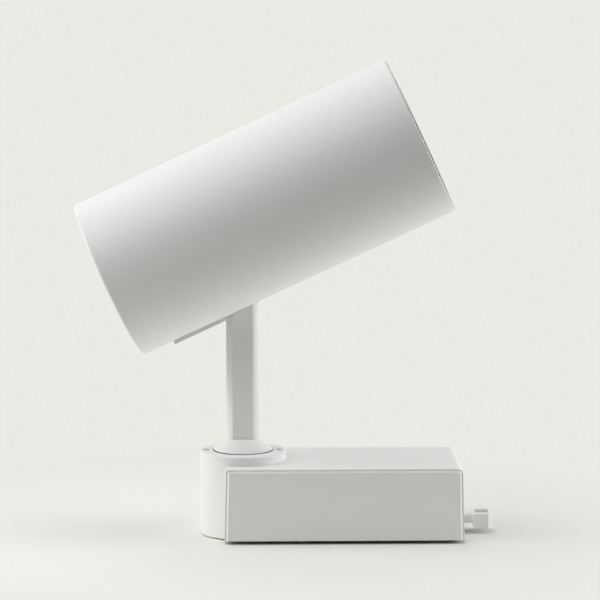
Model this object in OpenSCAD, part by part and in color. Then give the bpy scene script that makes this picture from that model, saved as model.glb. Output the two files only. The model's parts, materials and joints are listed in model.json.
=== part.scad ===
// Track light: a cylindrical spot head on a flat arm that tilts and pans over a gear box with a track adapter.
// It is drawn as it stands in the photograph, head up. The origin is where the pan axis meets the track's face,
// +Z runs from the track to the head and +X runs along the gear box to the finger tab. Millimetres.

/* [Head] */
// Outer diameter of the head at its front rim
head_d_front = 95.4; // [92:0.2:110]
// How much narrower the head is at its rear rim than at its front rim
head_taper = 1; // [0:0.1:3]
// Length of the head tube
head_l = 195.8; // [185:0.1:230]
// Thinnest wall of the head tube
head_wall = 1.7; // [1.4:0.1:3]
// Distance from the tilt pin back to the rear rim, along the head
head_rear = 68; // [60:1:80]
// Distance from the tilt pin down to the underside of the head, at its rear
pin_depth = 12.2; // [11.5:0.1:13]
// Rounding of the rear rim
rear_round = 1.6; // [0.5:0.1:1.6]
// How far the front ring stands out of the tube
bezel_t = 1; // [0.8:0.1:3]
// Width of the front ring around the glass
bezel_w = 3.8; // [3:0.1:6]
// Thickness of the front glass
glass_t = 3; // [2:0.5:5]
// Thickness of the reflector's wall
reflector_wall = 1; // [0.8:0.1:2]
// Depth of the rear cap inside the rear rim
cap_inset = 2.5; // [2:0.1:5]
// Thickness of the rear cap
cap_t = 2; // [1.5:0.1:4]
// Number of vent slots in the rear cap
vent_count = 9; // [5:1:11]

/* [Heat sink and LED] */
// Distance from the tilt pin to the heat sink's front face, along the head
sink_front = 56; // [50:1:64]
// Thickness of the heat sink's plate
sink_t = 6; // [5:0.5:10]
// Number of fins
fin_count = 12; // [8:2:12]
// Thickness of one fin
fin_t = 1.8; // [1.2:0.1:2.4]
// Distance between fins, centre to centre
fin_pitch = 6.4; // [6:0.1:6.6]
// Length of the fins
fin_l = 84; // [60:1:90]
// Side of the square LED chip
chip_side = 19; // [16:0.5:22]
// Diameter of the chip's light-emitting spot
spot_d = 14.5; // [8:0.5:15]
// Outer diameter of the LED holder
holder_d = 50; // [48:1:58]

/* [Tilt] */
// Height of the tilt pin above the track's face
tilt_z = 145; // [138:1:165]
// Tilt of the head in the photograph, above level
tilt_rest = 25; // [5:1:55]
// Lowest tilt of the head
tilt_low = 0; // [0:1:4]
// Highest tilt of the head
tilt_high = 60; // [56:1:62]
// Diameter of the tilt pin
tilt_pin_d = 6; // [4:0.1:6]
// Thickness of the tilt bracket's steel
bracket_t = 2; // [1.5:0.1:2.5]
// Height of the bracket's web above the tilt pin
bracket_h = 13.4; // [13.2:0.1:15]
// Width of the bracket's cheeks along the head
bracket_w = 18; // [14:1:19]
// Thickness of one friction washer
washer_t = 1.1; // [0.6:0.1:1.6]
// Thickness of the slot liner's walls
liner_t = 1.2; // [0.8:0.1:1.4]
// How far the liner's rails stand out of the head
rail_h = 1.6; // [1:0.1:3]
// Width of each rail outside the liner's wall
rail_w = 1.5; // [1:0.1:3]

/* [Arm] */
// Width of the arm
arm_w = 19.2; // [18:0.1:20]
// Thickness of the arm, with full-round edges
arm_t = 8; // [7.6:0.1:9]
// Diameter of the lead's channel through the arm
channel_d = 3.2; // [3:0.1:3.2]
// Diameter of the swivel cap
dome_d = 33.8; // [32:0.1:36]
// Height of the swivel cap
dome_h = 7; // [6.6:0.1:9]
// How much of the swivel cap's crown is cut flat
dome_flat = 0.8; // [0.2:0.1:1]
// Diameter of the pan spindle's shaft
spindle_d = 16; // [15:0.1:17]

/* [Round housing] */
// Diameter of the round housing
round_d = 50; // [49:0.2:54]
// Wall of the round housing
round_wall = 2; // [1.5:0.1:2.2]
// Height of the housing's top above the track's face
round_top = 48.8; // [47:0.2:56]
// Height of the housing's bottom edge above the track's face
round_foot = 0.6; // [0.4:0.1:1.6]
// Thickness of the housing's top
round_lid = 3; // [2.4:0.1:4]
// Distance of the rim screws from the pan axis
rim_screw_r = 20.8; // [20.4:0.1:20.8]

/* [Gear box] */
// Distance from the pan axis to the box's left end, at the top
box_left = 10; // [5:0.25:12]
// Distance from the pan axis to the box's right end, at the top
box_right = 125.1; // [124.2:0.1:134]
// Distance from the pan axis to the box's front
box_front = 35.2; // [34:0.1:42]
// Distance from the pan axis to the box's back
box_back = 34.4; // [34:0.1:42]
// Height of the box's top above the track's face
box_top = 43.4; // [42.6:0.1:45]
// Gap between the track's face and the box
box_foot = 2.1; // [1.8:0.1:3]
// Lean of the box's end walls, for demoulding
box_draft = 1.4; // [0:0.1:3]
// Wall of the box
box_wall = 0.8; // [0.8:0.1:1.6]
// Rounding of the box's top edge at the right end
box_round_right = 3.5; // [1:0.1:4]
// Rounding of the box's top edge at the left end
box_round_left = 1.2; // [0.6:0.1:3]
// Thickness of the front cover
cover_t = 2; // [1.5:0.1:2.6]
// Chamfer around the front cover
cover_chamfer = 1; // [0.5:0.1:1.2]
// Seam between the front cover and the box
cover_seam = 0.1; // [0.1:0.05:0.5]
// Thickness of the base plate
plate_t = 1.5; // [1.2:0.1:1.6]

/* [Track adapter] */
// Width of the adapter's flange on the track
flange_w = 34; // [32:1:35]
// Distance from the pan axis to the flange's right end
flange_right = 118; // [117:1:120]
// Width of the keel that enters the track
keel_w = 18; // [16:0.5:18.5]
// Depth of the keel in the track
keel_depth = 14; // [12.5:0.5:16]
// Length of the locking lugs
lug_l = 26; // [24:0.5:26]
// Width of the locking lugs
lug_w = 7; // [5.2:0.2:9]
// Thickness of the locking lugs
lug_t = 3.4; // [2.6:0.1:3.6]
// Travel of the lock slide, which turns the lugs a quarter turn
lock_travel = 5; // [4:0.1:5]
// Diameter of the lug shafts
lug_shaft_d = 5; // [4:0.1:5]
// Length of the finger tab along the box
tab_l = 12.1; // [11:0.1:16]
// Width of the finger tab
tab_w = 17; // [15:0.5:24]
// Height of the finger tab
tab_h = 8.85; // [8.4:0.05:12]
// Length of the neck that shows between the box and the tab
neck_l = 6.3; // [5.6:0.1:9]

/* [Driver] */
// Length of the driver's case
driver_l = 73; // [70:0.5:73]
// Width of the driver's case
driver_w = 49; // [49:0.1:49.6]
// Height of the driver's case
driver_h = 24; // [22:0.5:24.5]
// Wall of the driver's case
driver_wall = 1.6; // [1.2:0.1:2]

/* [Hidden] */
$fn = 96;

// Clearance of a fixed fit, on the radius
fit = 0.05;
// Clearance of a turning fit, on the radius
running = 0.05;
// Overlap that lets a cut or a joined shape pass its neighbour's face
over = 0.5;

// Screws: shank radius, head radius and head height by nominal size
function shank(size) = size / 2 - 0.05;
function head_r(size) = size * 0.92;
function head_h(size) = size * 0.6;

// A point on a circle in the plane
function polar(r, a) = [r * cos(a), r * sin(a)];
function arc(c, r, a0, a1, n) = [for (i = [0:n]) c + polar(r, a0 + (a1 - a0) * i / n)];

// Head, measured along its axis from the tilt pin
head_d_rear = head_d_front - head_taper;
head_offset = head_d_rear / 2 - pin_depth;
bore_r = head_d_rear / 2 - head_wall;
tube_front = head_l - head_rear;
spigot_l = 2.5;
ring_seam = 0.2;
gasket_t = 1;
rim_t = 1.5;
ledge_l = 4;
ledge_top = tube_front - spigot_l - gasket_t - glass_t - rim_t;
ring_in_r = head_d_front / 2 - 0.6 - bezel_w;
ledge_in_r = bore_r - 2.3;
lug_r = 4.5;
lug_at = bore_r - 5;
lug_l_axial = 10;
boss_r = 3.5;
boss_at = bore_r - 4;
boss_l = 13;
cap_back = -head_rear + cap_inset;
cap_screw = 3;
sink_screw = 3;
sink_lug_angles = [45, 135, 225, 315];
cap_boss_angles = [60, 180, 300];
fin_r = bore_r - 9.5;
bracket_top = bracket_h + bracket_t;
pad_perp = head_offset - bracket_top;
pad_h = 8.6;
pad_x = 17;
pad_y = 12;
lead_r = 1.3;
lead_perp = 14;
chip_t = 1.5;
spot_t = 0.4;
thermal_t = 0.3;
holder_h = 5.3;
holder_screw = 3;
holder_screw_at = 17.5;

// Tilt joint, across the head
liner_in_y = arm_t / 2 + washer_t + 0.1;
liner_out_y = liner_in_y + 1;
cheek_y = liner_out_y + 0.1;
cheek_out_y = cheek_y + bracket_t;
trough_r = arm_w / 2 + 1;
pin_r = tilt_pin_d / 2;
bush_out_r = pin_r + 1;
pin_head_r = 5;
pin_head_h = 3;
nut_h = 3.6;
bracket_screw = 4;
bracket_screw_x = 13;
rail_z = -pin_depth - rail_h;
rail_rear = -49.2;
rail_front = -16;
rail_tube_r = (head_d_rear + (head_d_front - head_d_rear) * (rail_front + head_rear) / head_l) / 2;

// Pan joint, by height
lid_bottom = round_top - round_lid;
spindle_top = round_top + 2.4;
spindle_head_r = 12;
spindle_head_z = lid_bottom - 1.8;
arm_foot = spindle_head_z + 3.2;
bush_flange_h = 1.95;
bearing_top = spindle_head_z - bush_flange_h - running;
bearing_t = 5;
bearing_z = bearing_top - bearing_t;
spindle_r = spindle_d / 2;
bush_wall = 1.5;
stop_t = 1.5;
stop_top = bearing_z - 0.1;
stop_at = 15;
stop_reach = 17;
stop_w = 3;
stop_washer_r = 12;
spindle_nut_r = 12;
nut_top = stop_top - stop_t;
spindle_nut_h = 4;
spindle_end = nut_top - spindle_nut_h - 2.4;
dome_z = round_top + 0.3;
dome_r = dome_d / 2;
dome_sphere = (dome_r * dome_r + dome_h * dome_h) / (2 * dome_h);
dome_wall = 1.2;
lid_hole_r = dome_r + 0.3;
arm_pin_d = 3;
arm_pin_x = [-1.5, 5];
channel_x = -arm_w / 2 + channel_d / 2 + 1.7;
arm_edge_tilt = 26;
arm_tip_tilt = 62;
arm_tip_r = 0.8;
lead_turn_z = arm_foot - 1.4;
lead_end = spindle_end - 3;

// Round housing
round_r = round_d / 2;
round_in_r = round_r - round_wall;
rim_screw = 2.5;
housing_screw = 3;
foot_r = 3;
foot_t = 3;
foot_in = 2;
rim_recess = 1.3;
rim_screw_l = 7;
nest = 0.15;

// Gear box
lean = tan(box_draft);
plate_top = box_foot + plate_t;
shell_clear = 0.1;
box_boss_r = 3.2;
box_boss_y = min(box_front - cover_t, box_back - box_wall) - box_boss_r - 1.2;
box_boss_x = [29.5, box_right - 6.7];
base_screw = 3;
clip_x = [50, 100];
clip_w = 10;

// Track adapter
flange_r = flange_w / 2;
rim_over = 3;
rim_r = flange_r + rim_over;
rim_right = flange_right + 2;
adapter_rim_t = 2;
rim_top = plate_top + adapter_rim_t;
keel_x = [24, 116];
keel_split = -9.4;
pocket_top = -5.7;
lug_x = [40, 100];
lug_shaft_r = lug_shaft_d / 2;
crank_r = lock_travel / 2 * sqrt(2);
crank_pin_r = 1.25;
crank_disc_r = crank_r + crank_pin_r + 0.4;
crank_t = 2.4;
crank_top = rim_top - 0.1;
slide_z = rim_top + 0.1;
slide_t = 2.4;
slide_wide = 14;
slide_narrow = 8.4;
slide_pad = 8;
slide_slack = 0.2;
guide_w = 2;
guide_l = 11;
guide_h = slide_t + 0.3;
guide_cover_t = 1;
finger_x = [62, 76];
finger_in_y = 5.8;
finger_t = 1;
finger_w = 3;
finger_reach = 10.4;
finger_z = [-8.6, -4.4];
finger_top = 10.2;
adapter_screw = 3;
adapter_screw_x = [22, flange_right - 3];
adapter_screw_y = rim_r - 1.45;
keel_screw = 2.5;
keel_screw_x = [62, 80];
neck_w = 10;
neck_h = 5.2;
neck_z = slide_z + 0.1;
neck_from = lug_x[1] + guide_l + lock_travel + 0.5;
box_end = box_right + (box_top - neck_z) * lean;
tab_x = box_end + neck_l;
tab_z = 3;
tab_wall = 2.3;
tab_side = 4;
tab_floor = 2;
tab_slant = 1.2;
tab_corner = 2.6;

// Driver and wiring
driver_x = rim_right - driver_l;
driver_z = 14;
driver_foot_r = 2.2;
driver_foot_y = rim_r + 0.1 + driver_foot_r;
driver_foot_x = [driver_x + 6, rim_right - 14];
driver_screw = 2.5;
lid_t = 1.6;
board_t = 1.6;
board_lift = 2.4;
board_z = driver_z + driver_wall + board_lift;
board_top = board_z + board_t;
post_r = 2.5;
block_x = 30;
block_l = 12;
block_w = 30;
block_h = 12;
block_z = 12;
block_foot_r = 2;
wire_r = 0.9;
wire_y = 4;
wire_turn = 2;
wire_low = 3;
wire_high = 9;
live_y = 6;
output_r = 1.3;
output_z = 30;
output_low_z = 19;
output_step = 6;
output_low_x = 14;
transformer_x = 32;
transformer_y = 4;
core = [10, 16, 11];
coil = [18, 10, 9];
bobbin = [18, 20, 3];
capacitor_x = 52;
capacitor_y = [-10, 6];
capacitor_r = [5.5, 4];
capacitor_h = [16, 13];
filter_x = 16;
filter_y = -12;
filter_size = [6, 14, 11];
choke_x = 63;
choke_y = 8;
choke_out_r = 6;
choke_in_r = 2.5;
choke_h = 7;

// Frame of the head: X along the head to its front, Z square to it and up, from the tilt pin
module head_frame() translate([0, 0, tilt_z]) rotate([0, -tilt_rest, 0]) children();
// The same frame on the head's centreline with Z along the head: its X points down, to the arm's slot
module head_axis() head_frame() translate([0, 0, head_offset]) rotate([0, 90, 0]) children();

// A plane outline in X and Z drawn out along Y
module along_y(y0, y1) translate([0, y1, 0]) rotate([90, 0, 0]) linear_extrude(y1 - y0) children();
module tube(r, bore, h) difference() {
    cylinder(r = r, h = h);
    translate([0, 0, -over]) cylinder(r = bore, h = h + 2 * over);
}
// A screw whose head's underside is at the origin, pointing down
module screw(size, l) {
    cylinder(r = head_r(size), h = head_h(size));
    translate([0, 0, -l]) cylinder(r = shank(size), h = l + over);
}
// A round wire through a list of points, with a slightly fuller ball at each bend
module wire(points, r) {
    ball_r = 1.06 * r;
    for (i = [0:len(points) - 2]) {
        run = points[i + 1] - points[i];
        translate(points[i])
            rotate([0, acos(run[2] / norm(run)), atan2(run[1], run[0])])
                cylinder(r = r, h = norm(run), $fn = 24);
    }
    if (len(points) > 2)
        for (i = [1:len(points) - 2]) translate(points[i]) sphere(r = ball_r, $fn = 24);
}
// A round wire that bends in the plane of X and Z, swept as rings that are mitred at its bends
function unit(v) = v / norm(v);
function before(p, i) = unit(p[max(i, 1)] - p[max(i, 1) - 1]);
function after(p, i) = unit(p[min(i, len(p) - 2) + 1] - p[min(i, len(p) - 2)]);
function ring(p, i, r, sides) = let (d = unit(before(p, i) + after(p, i)), wide = r / (d * before(p, i))) [
    for (k = [0:sides - 1]) let (q = polar(1, 360 * k / sides))
        p[i] + [wide * q[1] * d[2], r * q[0], -wide * q[1] * d[0]]
];
module flat_wire(p, r) {
    sides = 12;
    last = len(p) - 1;
    polyhedron(
        points = [for (i = [0:last]) each ring(p, i, r, sides)],
        faces = concat(
            [[for (k = [0:sides - 1]) k], [for (k = [sides - 1:-1:0]) last * sides + k]],
            [for (i = [0:last - 1], k = [0:sides - 1]) let (a = i * sides + k, b = i * sides + (k + 1) % sides)
                each [[a, a + sides, b], [b, a + sides, b + sides]]]
        )
    );
}
// The arm's section, grown by a clearance. Its bulging sides meet the flat faces at an angle and end in a rounded tip
function arm_side(grow) =
    let (
        half = arm_t / 2 + grow, tip_at = arm_w / 2 + grow - arm_tip_r,
        bulge = (half - arm_tip_r * cos(arm_tip_tilt)) / (cos(arm_edge_tilt) - cos(arm_tip_tilt)),
        at = [tip_at - (bulge - arm_tip_r) * sin(arm_tip_tilt), -(bulge - arm_tip_r) * cos(arm_tip_tilt)]
    )
    concat(
        arc(at, bulge, 90 - arm_edge_tilt, 90 - arm_tip_tilt, 8),
        [for (i = [1:5]) [tip_at, 0] + polar(arm_tip_r, (90 - arm_tip_tilt) * (1 - i / 3))],
        arc([at.x, -at.y], bulge, arm_tip_tilt - 90, arm_edge_tilt - 90, 8)
    );
module arm_section(grow) {
    side = arm_side(grow);
    polygon(concat(side, [for (i = [len(side) - 1:-1:0]) [-side[i].x, side[i].y]]));
}

// Outer form of the head tube, grown by a clearance
module head_form(grow) translate([0, 0, -head_rear])
    cylinder(r1 = head_d_rear / 2 + grow, r2 = head_d_front / 2 + grow, h = head_l);
// The space that the arm sweeps in the head between the two ends of its tilt, grown by a wall
module swept(grow) {
    r = trough_r + grow;
    reach = 60;
    steep = [-sin(tilt_high), -cos(tilt_high)];
    steep_side = [-cos(tilt_high), sin(tilt_high)];
    flat = [-sin(tilt_low), -cos(tilt_low)];
    flat_side = [cos(tilt_low), -sin(tilt_low)];
    // The straight sides start a little inside the circle, so that they cross it and don't only touch it
    side = r - 0.05;
    circle(r = r);
    polygon([
        side * steep_side, side * steep_side + reach * steep,
        side * flat_side + reach * flat, side * flat_side
    ]);
}

module head_shell() color("white") difference() {
    head_axis() {
        difference() {
            intersection() {
                head_form(0);
                translate([0, 0, -head_rear]) rotate_extrude() polygon(concat(
                    [[0, 0]],
                    arc([head_d_rear / 2 - rear_round, rear_round], rear_round, -90, 0, 6),
                    [[head_d_front, head_d_front], [head_d_front, head_l + over], [0, head_l + over]]
                ));
            }
            translate([0, 0, -head_rear - over]) cylinder(r = bore_r, h = head_l + 2 * over);
        }
        translate([0, 0, ledge_top - ledge_l]) tube(bore_r + fit, ledge_in_r, ledge_l);
        for (a = sink_lug_angles) sink_lug(a);
        for (a = cap_boss_angles) cap_boss(a);
    }
    head_frame() along_y(-liner_out_y - 0.2, liner_out_y + 0.2) swept(liner_t + 0.2);
}
// A lug in the tube that takes one of the heat sink's screws
module sink_lug(a) rotate(a) translate([lug_at, 0, sink_front - sink_t - lug_l_axial]) difference() {
    union() {
        cylinder(r = lug_r, h = lug_l_axial);
        translate([0, -lug_r, 0]) cube([bore_r - lug_at + fit, 2 * lug_r, lug_l_axial]);
    }
    translate([0, 0, -over]) cylinder(r = sink_screw / 2, h = lug_l_axial + 2 * over);
}
// A boss in the tube that takes one of the rear cap's screws
module cap_boss(a) rotate(a) translate([boss_at, 0, cap_back + cap_t]) difference() {
    union() {
        cylinder(r = boss_r, h = boss_l);
        translate([0, -boss_r, 0]) cube([bore_r - boss_at + fit, 2 * boss_r, boss_l]);
    }
    translate([0, 0, -over]) cylinder(r = cap_screw / 2, h = boss_l + 2 * over);
}

// The ring's flange stands off the tube by a fine dark line
module front_ring() color("gainsboro") head_axis() {
    translate([0, 0, tube_front + ring_seam]) tube(head_d_front / 2 - 0.6, ring_in_r, bezel_t - ring_seam);
    translate([0, 0, tube_front - spigot_l]) tube(bore_r - fit, ring_in_r, spigot_l + (ring_seam + bezel_t) / 2);
}
module glass_gasket() color("dimgray") head_axis()
    translate([0, 0, tube_front - spigot_l - gasket_t]) tube(bore_r - fit, ring_in_r + 0.4, gasket_t);
module front_glass() color("lightblue", 0.4) head_axis()
    translate([0, 0, ledge_top + rim_t]) cylinder(r = bore_r - 2 * fit, h = glass_t);

// Parabola of the reflector's inner face, from its throat to its mouth
throat_r = spot_d / 2 + 1.4;
mouth_r = ledge_in_r - 2.2;
reflector_z = sink_front + holder_h;
reflector_h = ledge_top - reflector_z;
function parabola(r) = reflector_h * (r * r - throat_r * throat_r) / (mouth_r * mouth_r - throat_r * throat_r);
reflector_steps = 14;
function reflector_face(grow) = [
    for (i = [0:reflector_steps]) let (r = throat_r + (mouth_r - throat_r) * i / reflector_steps)
        [r + grow, parabola(r)]
];
module reflector() color("silver") head_axis() {
    translate([0, 0, reflector_z]) rotate_extrude() polygon(concat(
        reflector_face(0),
        [for (i = [reflector_steps:-1:0]) reflector_face(reflector_wall)[i]]
    ));
    translate([0, 0, ledge_top]) tube(bore_r - 2 * fit, mouth_r, rim_t);
}
module thermal_pad() color("slategray") head_axis()
    translate([-chip_side / 2, -chip_side / 2, sink_front]) cube([chip_side, chip_side, thermal_t]);
module led_chip() color("gold") head_axis() translate([0, 0, sink_front + thermal_t]) {
    translate([-chip_side / 2, -chip_side / 2, 0]) cube([chip_side, chip_side, chip_t]);
    translate([0, 0, chip_t - 0.1]) cylinder(r = spot_d / 2, h = spot_t + 0.1);
}
module led_holder() color("ivory") head_axis() translate([0, 0, sink_front]) difference() {
    cylinder(r = holder_d / 2, h = holder_h - 0.1);
    pocket = chip_side + 0.3;
    translate([-pocket / 2, -pocket / 2, -over]) cube([pocket, pocket, thermal_t + chip_t + 0.1 + over]);
    cylinder(r1 = spot_d / 2 + 0.6, r2 = spot_d / 2 + 4.2, h = holder_h);
    for (side = [-1, 1]) translate([0, side * holder_screw_at, -over])
        cylinder(r = holder_screw / 2, h = holder_h + 2 * over);
    // Notch for the lead
    translate([-lead_perp - 2, -2, -over]) cube([8, 4, 3.4 + over]);
}
module holder_screws() color("silver") head_axis()
    for (side = [-1, 1]) translate([0, side * holder_screw_at, sink_front + holder_h - 0.1]) screw(holder_screw, 9);

module heat_sink() color("lightgray") head_axis() difference() {
    union() {
        translate([0, 0, sink_front - sink_t]) cylinder(r = bore_r - 0.2, h = sink_t);
        intersection() {
            translate([0, 0, sink_front - sink_t - fin_l]) cylinder(r = fin_r, h = fin_l + over);
            for (i = [0:fin_count - 1])
                translate([-fin_r, (i - (fin_count - 1) / 2) * fin_pitch - fin_t / 2, -fin_l])
                    cube([fin_r + pad_perp, fin_t, 2 * fin_l]);
        }
        translate([pad_perp - pad_h, -pad_y, -pad_x]) cube([pad_h, 2 * pad_y, 2 * pad_x]);
    }
    for (a = sink_lug_angles) rotate(a) translate([lug_at, 0, sink_front - sink_t - over])
        cylinder(r = sink_screw / 2 + 0.1, h = sink_t + 2 * over);
    for (side = [-1, 1]) {
        translate([0, side * holder_screw_at, sink_front - sink_t + 1]) cylinder(r = holder_screw / 2, h = sink_t);
        translate([pad_perp - 7, 0, side * bracket_screw_x]) rotate([0, 90, 0])
            cylinder(r = bracket_screw / 2, h = 7 + over);
    }
    // Holes for the lead through the pad and the plate
    translate([pad_perp - pad_h - over, 0, 0]) rotate([0, 90, 0]) cylinder(r = lead_r + 0.5, h = pad_h + 2 * over);
    translate([-lead_perp, 0, sink_front - sink_t - over]) cylinder(r = lead_r + 0.5, h = sink_t + 2 * over);
}
module sink_screws() color("silver") head_axis()
    for (a = sink_lug_angles) rotate(a) translate([lug_at, 0, sink_front]) screw(sink_screw, sink_t + 8);

module slot_liner() color("white") difference() {
    union() {
        intersection() {
            head_axis() head_form(0);
            head_frame() along_y(-liner_out_y, liner_out_y) swept(liner_t);
        }
        head_frame() rails();
        head_frame() intersection() {
            rail_block(liner_out_y);
            along_y(-liner_out_y, liner_out_y) swept(liner_t);
        }
    }
    head_frame() along_y(-liner_in_y, liner_in_y) swept(0);
    head_frame() along_y(-liner_out_y - over, liner_out_y + over) circle(r = pin_r + 0.1);
    // Mouth of the lead above the pin
    head_frame() translate([0, 0, trough_r - over]) cylinder(r = lead_r + 0.5, h = liner_t + 2 * over);
}
module rail_block(y) translate([rail_rear, -y, rail_z]) cube([rail_front - rail_rear, 2 * y, rail_h + 1.2]);
// Rails under the tube, with a top that follows its round underside
module rails() translate([rail_rear, 0, 0]) rotate([90, 0, 90]) linear_extrude(rail_front - rail_rear) {
    out_y = liner_out_y + rail_w;
    y = [-out_y, -liner_out_y, -liner_out_y / 2, 0, liner_out_y / 2, liner_out_y, out_y];
    polygon(concat(
        [[out_y, rail_z], [-out_y, rail_z]],
        [for (w = y) [w, head_offset - fit - sqrt(rail_tube_r ^ 2 - w * w)]]
    ));
}

module rear_cap() color("dimgray") head_axis() translate([0, 0, cap_back]) difference() {
    cylinder(r = bore_r - 0.15, h = cap_t);
    for (a = cap_boss_angles) rotate(a) translate([boss_at, 0, -over])
        cylinder(r = cap_screw / 2 + 0.1, h = cap_t + 2 * over);
    for (i = [0:vent_count - 1]) translate([0, (i - (vent_count - 1) / 2) * 5.6, -over])
        for (end = [-1, 1]) translate([end * 13, 0, 0]) vent(18, 2.4, cap_t + 2 * over);
}
// One vent slot with round ends
module vent(l, w, h) {
    translate([-(l - w) / 2, -w / 2, 0]) cube([l - w, w, h]);
    for (side = [-1, 1]) translate([side * (l - w) / 2, 0, 0]) cylinder(r = w / 2, h = h, $fn = 24);
}
module rear_cap_screws() color("silver") head_axis()
    for (a = cap_boss_angles) rotate(a)
        translate([boss_at, 0, cap_back]) rotate([180, 0, 0]) screw(cap_screw, cap_t + 9);

module tilt_bracket() color("silver") head_frame() difference() {
    union() {
        for (side = [-1, 1])
            translate([-bracket_w / 2, side * (cheek_y + bracket_t / 2) - bracket_t / 2, -7])
                cube([bracket_w, bracket_t, 7 + bracket_top]);
        translate([-pad_x, -cheek_out_y, bracket_h]) cube([2 * pad_x, 2 * cheek_out_y, bracket_t]);
    }
    along_y(-cheek_out_y - over, cheek_out_y + over) circle(r = pin_r + 0.02);
    for (x = [-bracket_screw_x, 0, bracket_screw_x]) translate([x, 0, bracket_h - over])
        cylinder(r = bracket_screw / 2 + 0.1, h = bracket_t + 2 * over);
}
module bracket_screws() color("dimgray") head_frame()
    for (side = [-1, 1]) translate([side * bracket_screw_x, 0, bracket_h])
        rotate([180, 0, 0]) screw(bracket_screw, bracket_t + 6);
module tilt_pin() color("silver") head_frame() {
    along_y(-cheek_out_y - 0.02, cheek_out_y + nut_h + 0.6) circle(r = pin_r);
    along_y(-cheek_out_y - pin_head_h, -cheek_out_y - 0.02) circle(r = pin_head_r);
}
module tilt_nut() color("gray") head_frame() along_y(cheek_out_y + 0.02, cheek_out_y + nut_h) difference() {
    circle(r = pin_head_r + 0.6, $fn = 6);
    circle(r = pin_r + 0.02);
}
// Lead from the tilt pin to the chip, in the gap between the two middle fins
module head_lead() color("gainsboro") head_frame() {
    turn = bracket_top + pad_h + 2;
    flat_wire([
        [0, 0, trough_r + 0.6], [0, 0, turn], [20, 0, turn], [sink_front - sink_t - 8, 0, head_offset + lead_perp],
        [sink_front + 1.6, 0, head_offset + lead_perp], [sink_front + 1.6, 0, head_offset + chip_side / 2 + 0.4]
    ], lead_r);
}

module arm_bar() color("white") difference() {
    intersection() {
        translate([0, 0, arm_foot]) linear_extrude(tilt_z + arm_w - arm_foot) arm_section(0);
        union() {
            translate([0, 0, tilt_z]) along_y(-arm_t, arm_t) circle(r = arm_w / 2);
            translate([-arm_w, -arm_t, arm_foot]) cube([2 * arm_w, 2 * arm_t, tilt_z - arm_foot]);
        }
    }
    translate([0, 0, tilt_z]) along_y(-arm_t, arm_t) circle(r = bush_out_r + 0.02);
    translate([channel_x, 0, arm_foot - over]) cylinder(r = channel_d / 2, h = tilt_z + arm_w - arm_foot);
    for (x = arm_pin_x) arm_pin_hole(x);
}
module arm_pin_hole(x) translate([x, 0, arm_foot + 2]) along_y(-arm_w, arm_w) circle(r = arm_pin_d / 2 + 0.02);
module arm_bush() color("goldenrod") translate([0, 0, tilt_z]) along_y(-arm_t / 2, arm_t / 2) difference() {
    circle(r = bush_out_r);
    circle(r = pin_r + running);
}
module friction_washers() color("black") translate([0, 0, tilt_z]) for (side = [-1, 1])
    along_y(side * (arm_t + washer_t) / 2 - washer_t / 2, side * (arm_t + washer_t) / 2 + washer_t / 2) difference() {
        circle(r = (arm_w - arm_t) / 2 - 0.2);
        circle(r = pin_r + running);
    }
module swivel_cap() color("white") difference() {
    translate([0, 0, dome_z + dome_h - dome_sphere]) difference() {
        intersection() {
            sphere(r = dome_sphere);
            translate([0, 0, dome_sphere - dome_h]) cylinder(r = dome_r, h = dome_h - dome_flat);
        }
        sphere(r = dome_sphere - dome_wall);
    }
    translate([0, 0, dome_z - over]) linear_extrude(2 * dome_h) arm_section(0.1);
}
module pan_spindle() color("silver") difference() {
    union() {
        translate([0, 0, spindle_head_z]) cylinder(r = spindle_head_r, h = spindle_top - spindle_head_z);
        translate([0, 0, spindle_end]) cylinder(r = spindle_r, h = spindle_head_z - spindle_end + over);
    }
    translate([0, 0, arm_foot - 0.02]) linear_extrude(spindle_top) arm_section(fit);
    translate([0, 0, spindle_end - over]) cylinder(r = lead_r + 1.2, h = arm_foot - spindle_end + 2 * over);
    // Turn of the lead from the spindle's bore to the arm's channel
    translate([channel_x - lead_r - 0.4, -lead_r - 0.4, lead_turn_z - lead_r - 0.2])
        cube([-channel_x + lead_r + 0.4, 2 * lead_r + 0.8, 2 * lead_r + 1]);
    for (x = arm_pin_x) arm_pin_hole(x);
}
module arm_pins() color("gray") for (x = arm_pin_x) {
    l = sqrt(spindle_head_r * spindle_head_r - pow(abs(x) + arm_pin_d / 2, 2)) - 0.1;
    translate([x, 0, arm_foot + 2]) along_y(-l, l) circle(r = arm_pin_d / 2);
}
module stop_washer() color("gray") translate([0, 0, stop_top - stop_t]) difference() {
    union() {
        cylinder(r = stop_washer_r, h = stop_t);
        translate([-stop_reach, -stop_w / 2, 0]) cube([stop_reach, stop_w, stop_t]);
    }
    translate([0, 0, -over]) cylinder(r = spindle_r + 0.03, h = stop_t + 2 * over);
}
module spindle_nut() color("gray") translate([0, 0, nut_top - spindle_nut_h]) difference() {
    cylinder(r = spindle_nut_r, h = spindle_nut_h - 0.02, $fn = 6);
    translate([0, 0, -over]) cylinder(r = spindle_r + 0.03, h = spindle_nut_h + 2 * over);
}
module arm_lead() color("gainsboro") wire([
    [0, 0, lead_end], [0, 0, lead_turn_z], [channel_x, 0, lead_turn_z], [channel_x, 0, tilt_z + arm_w / 4]
], lead_r);

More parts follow.
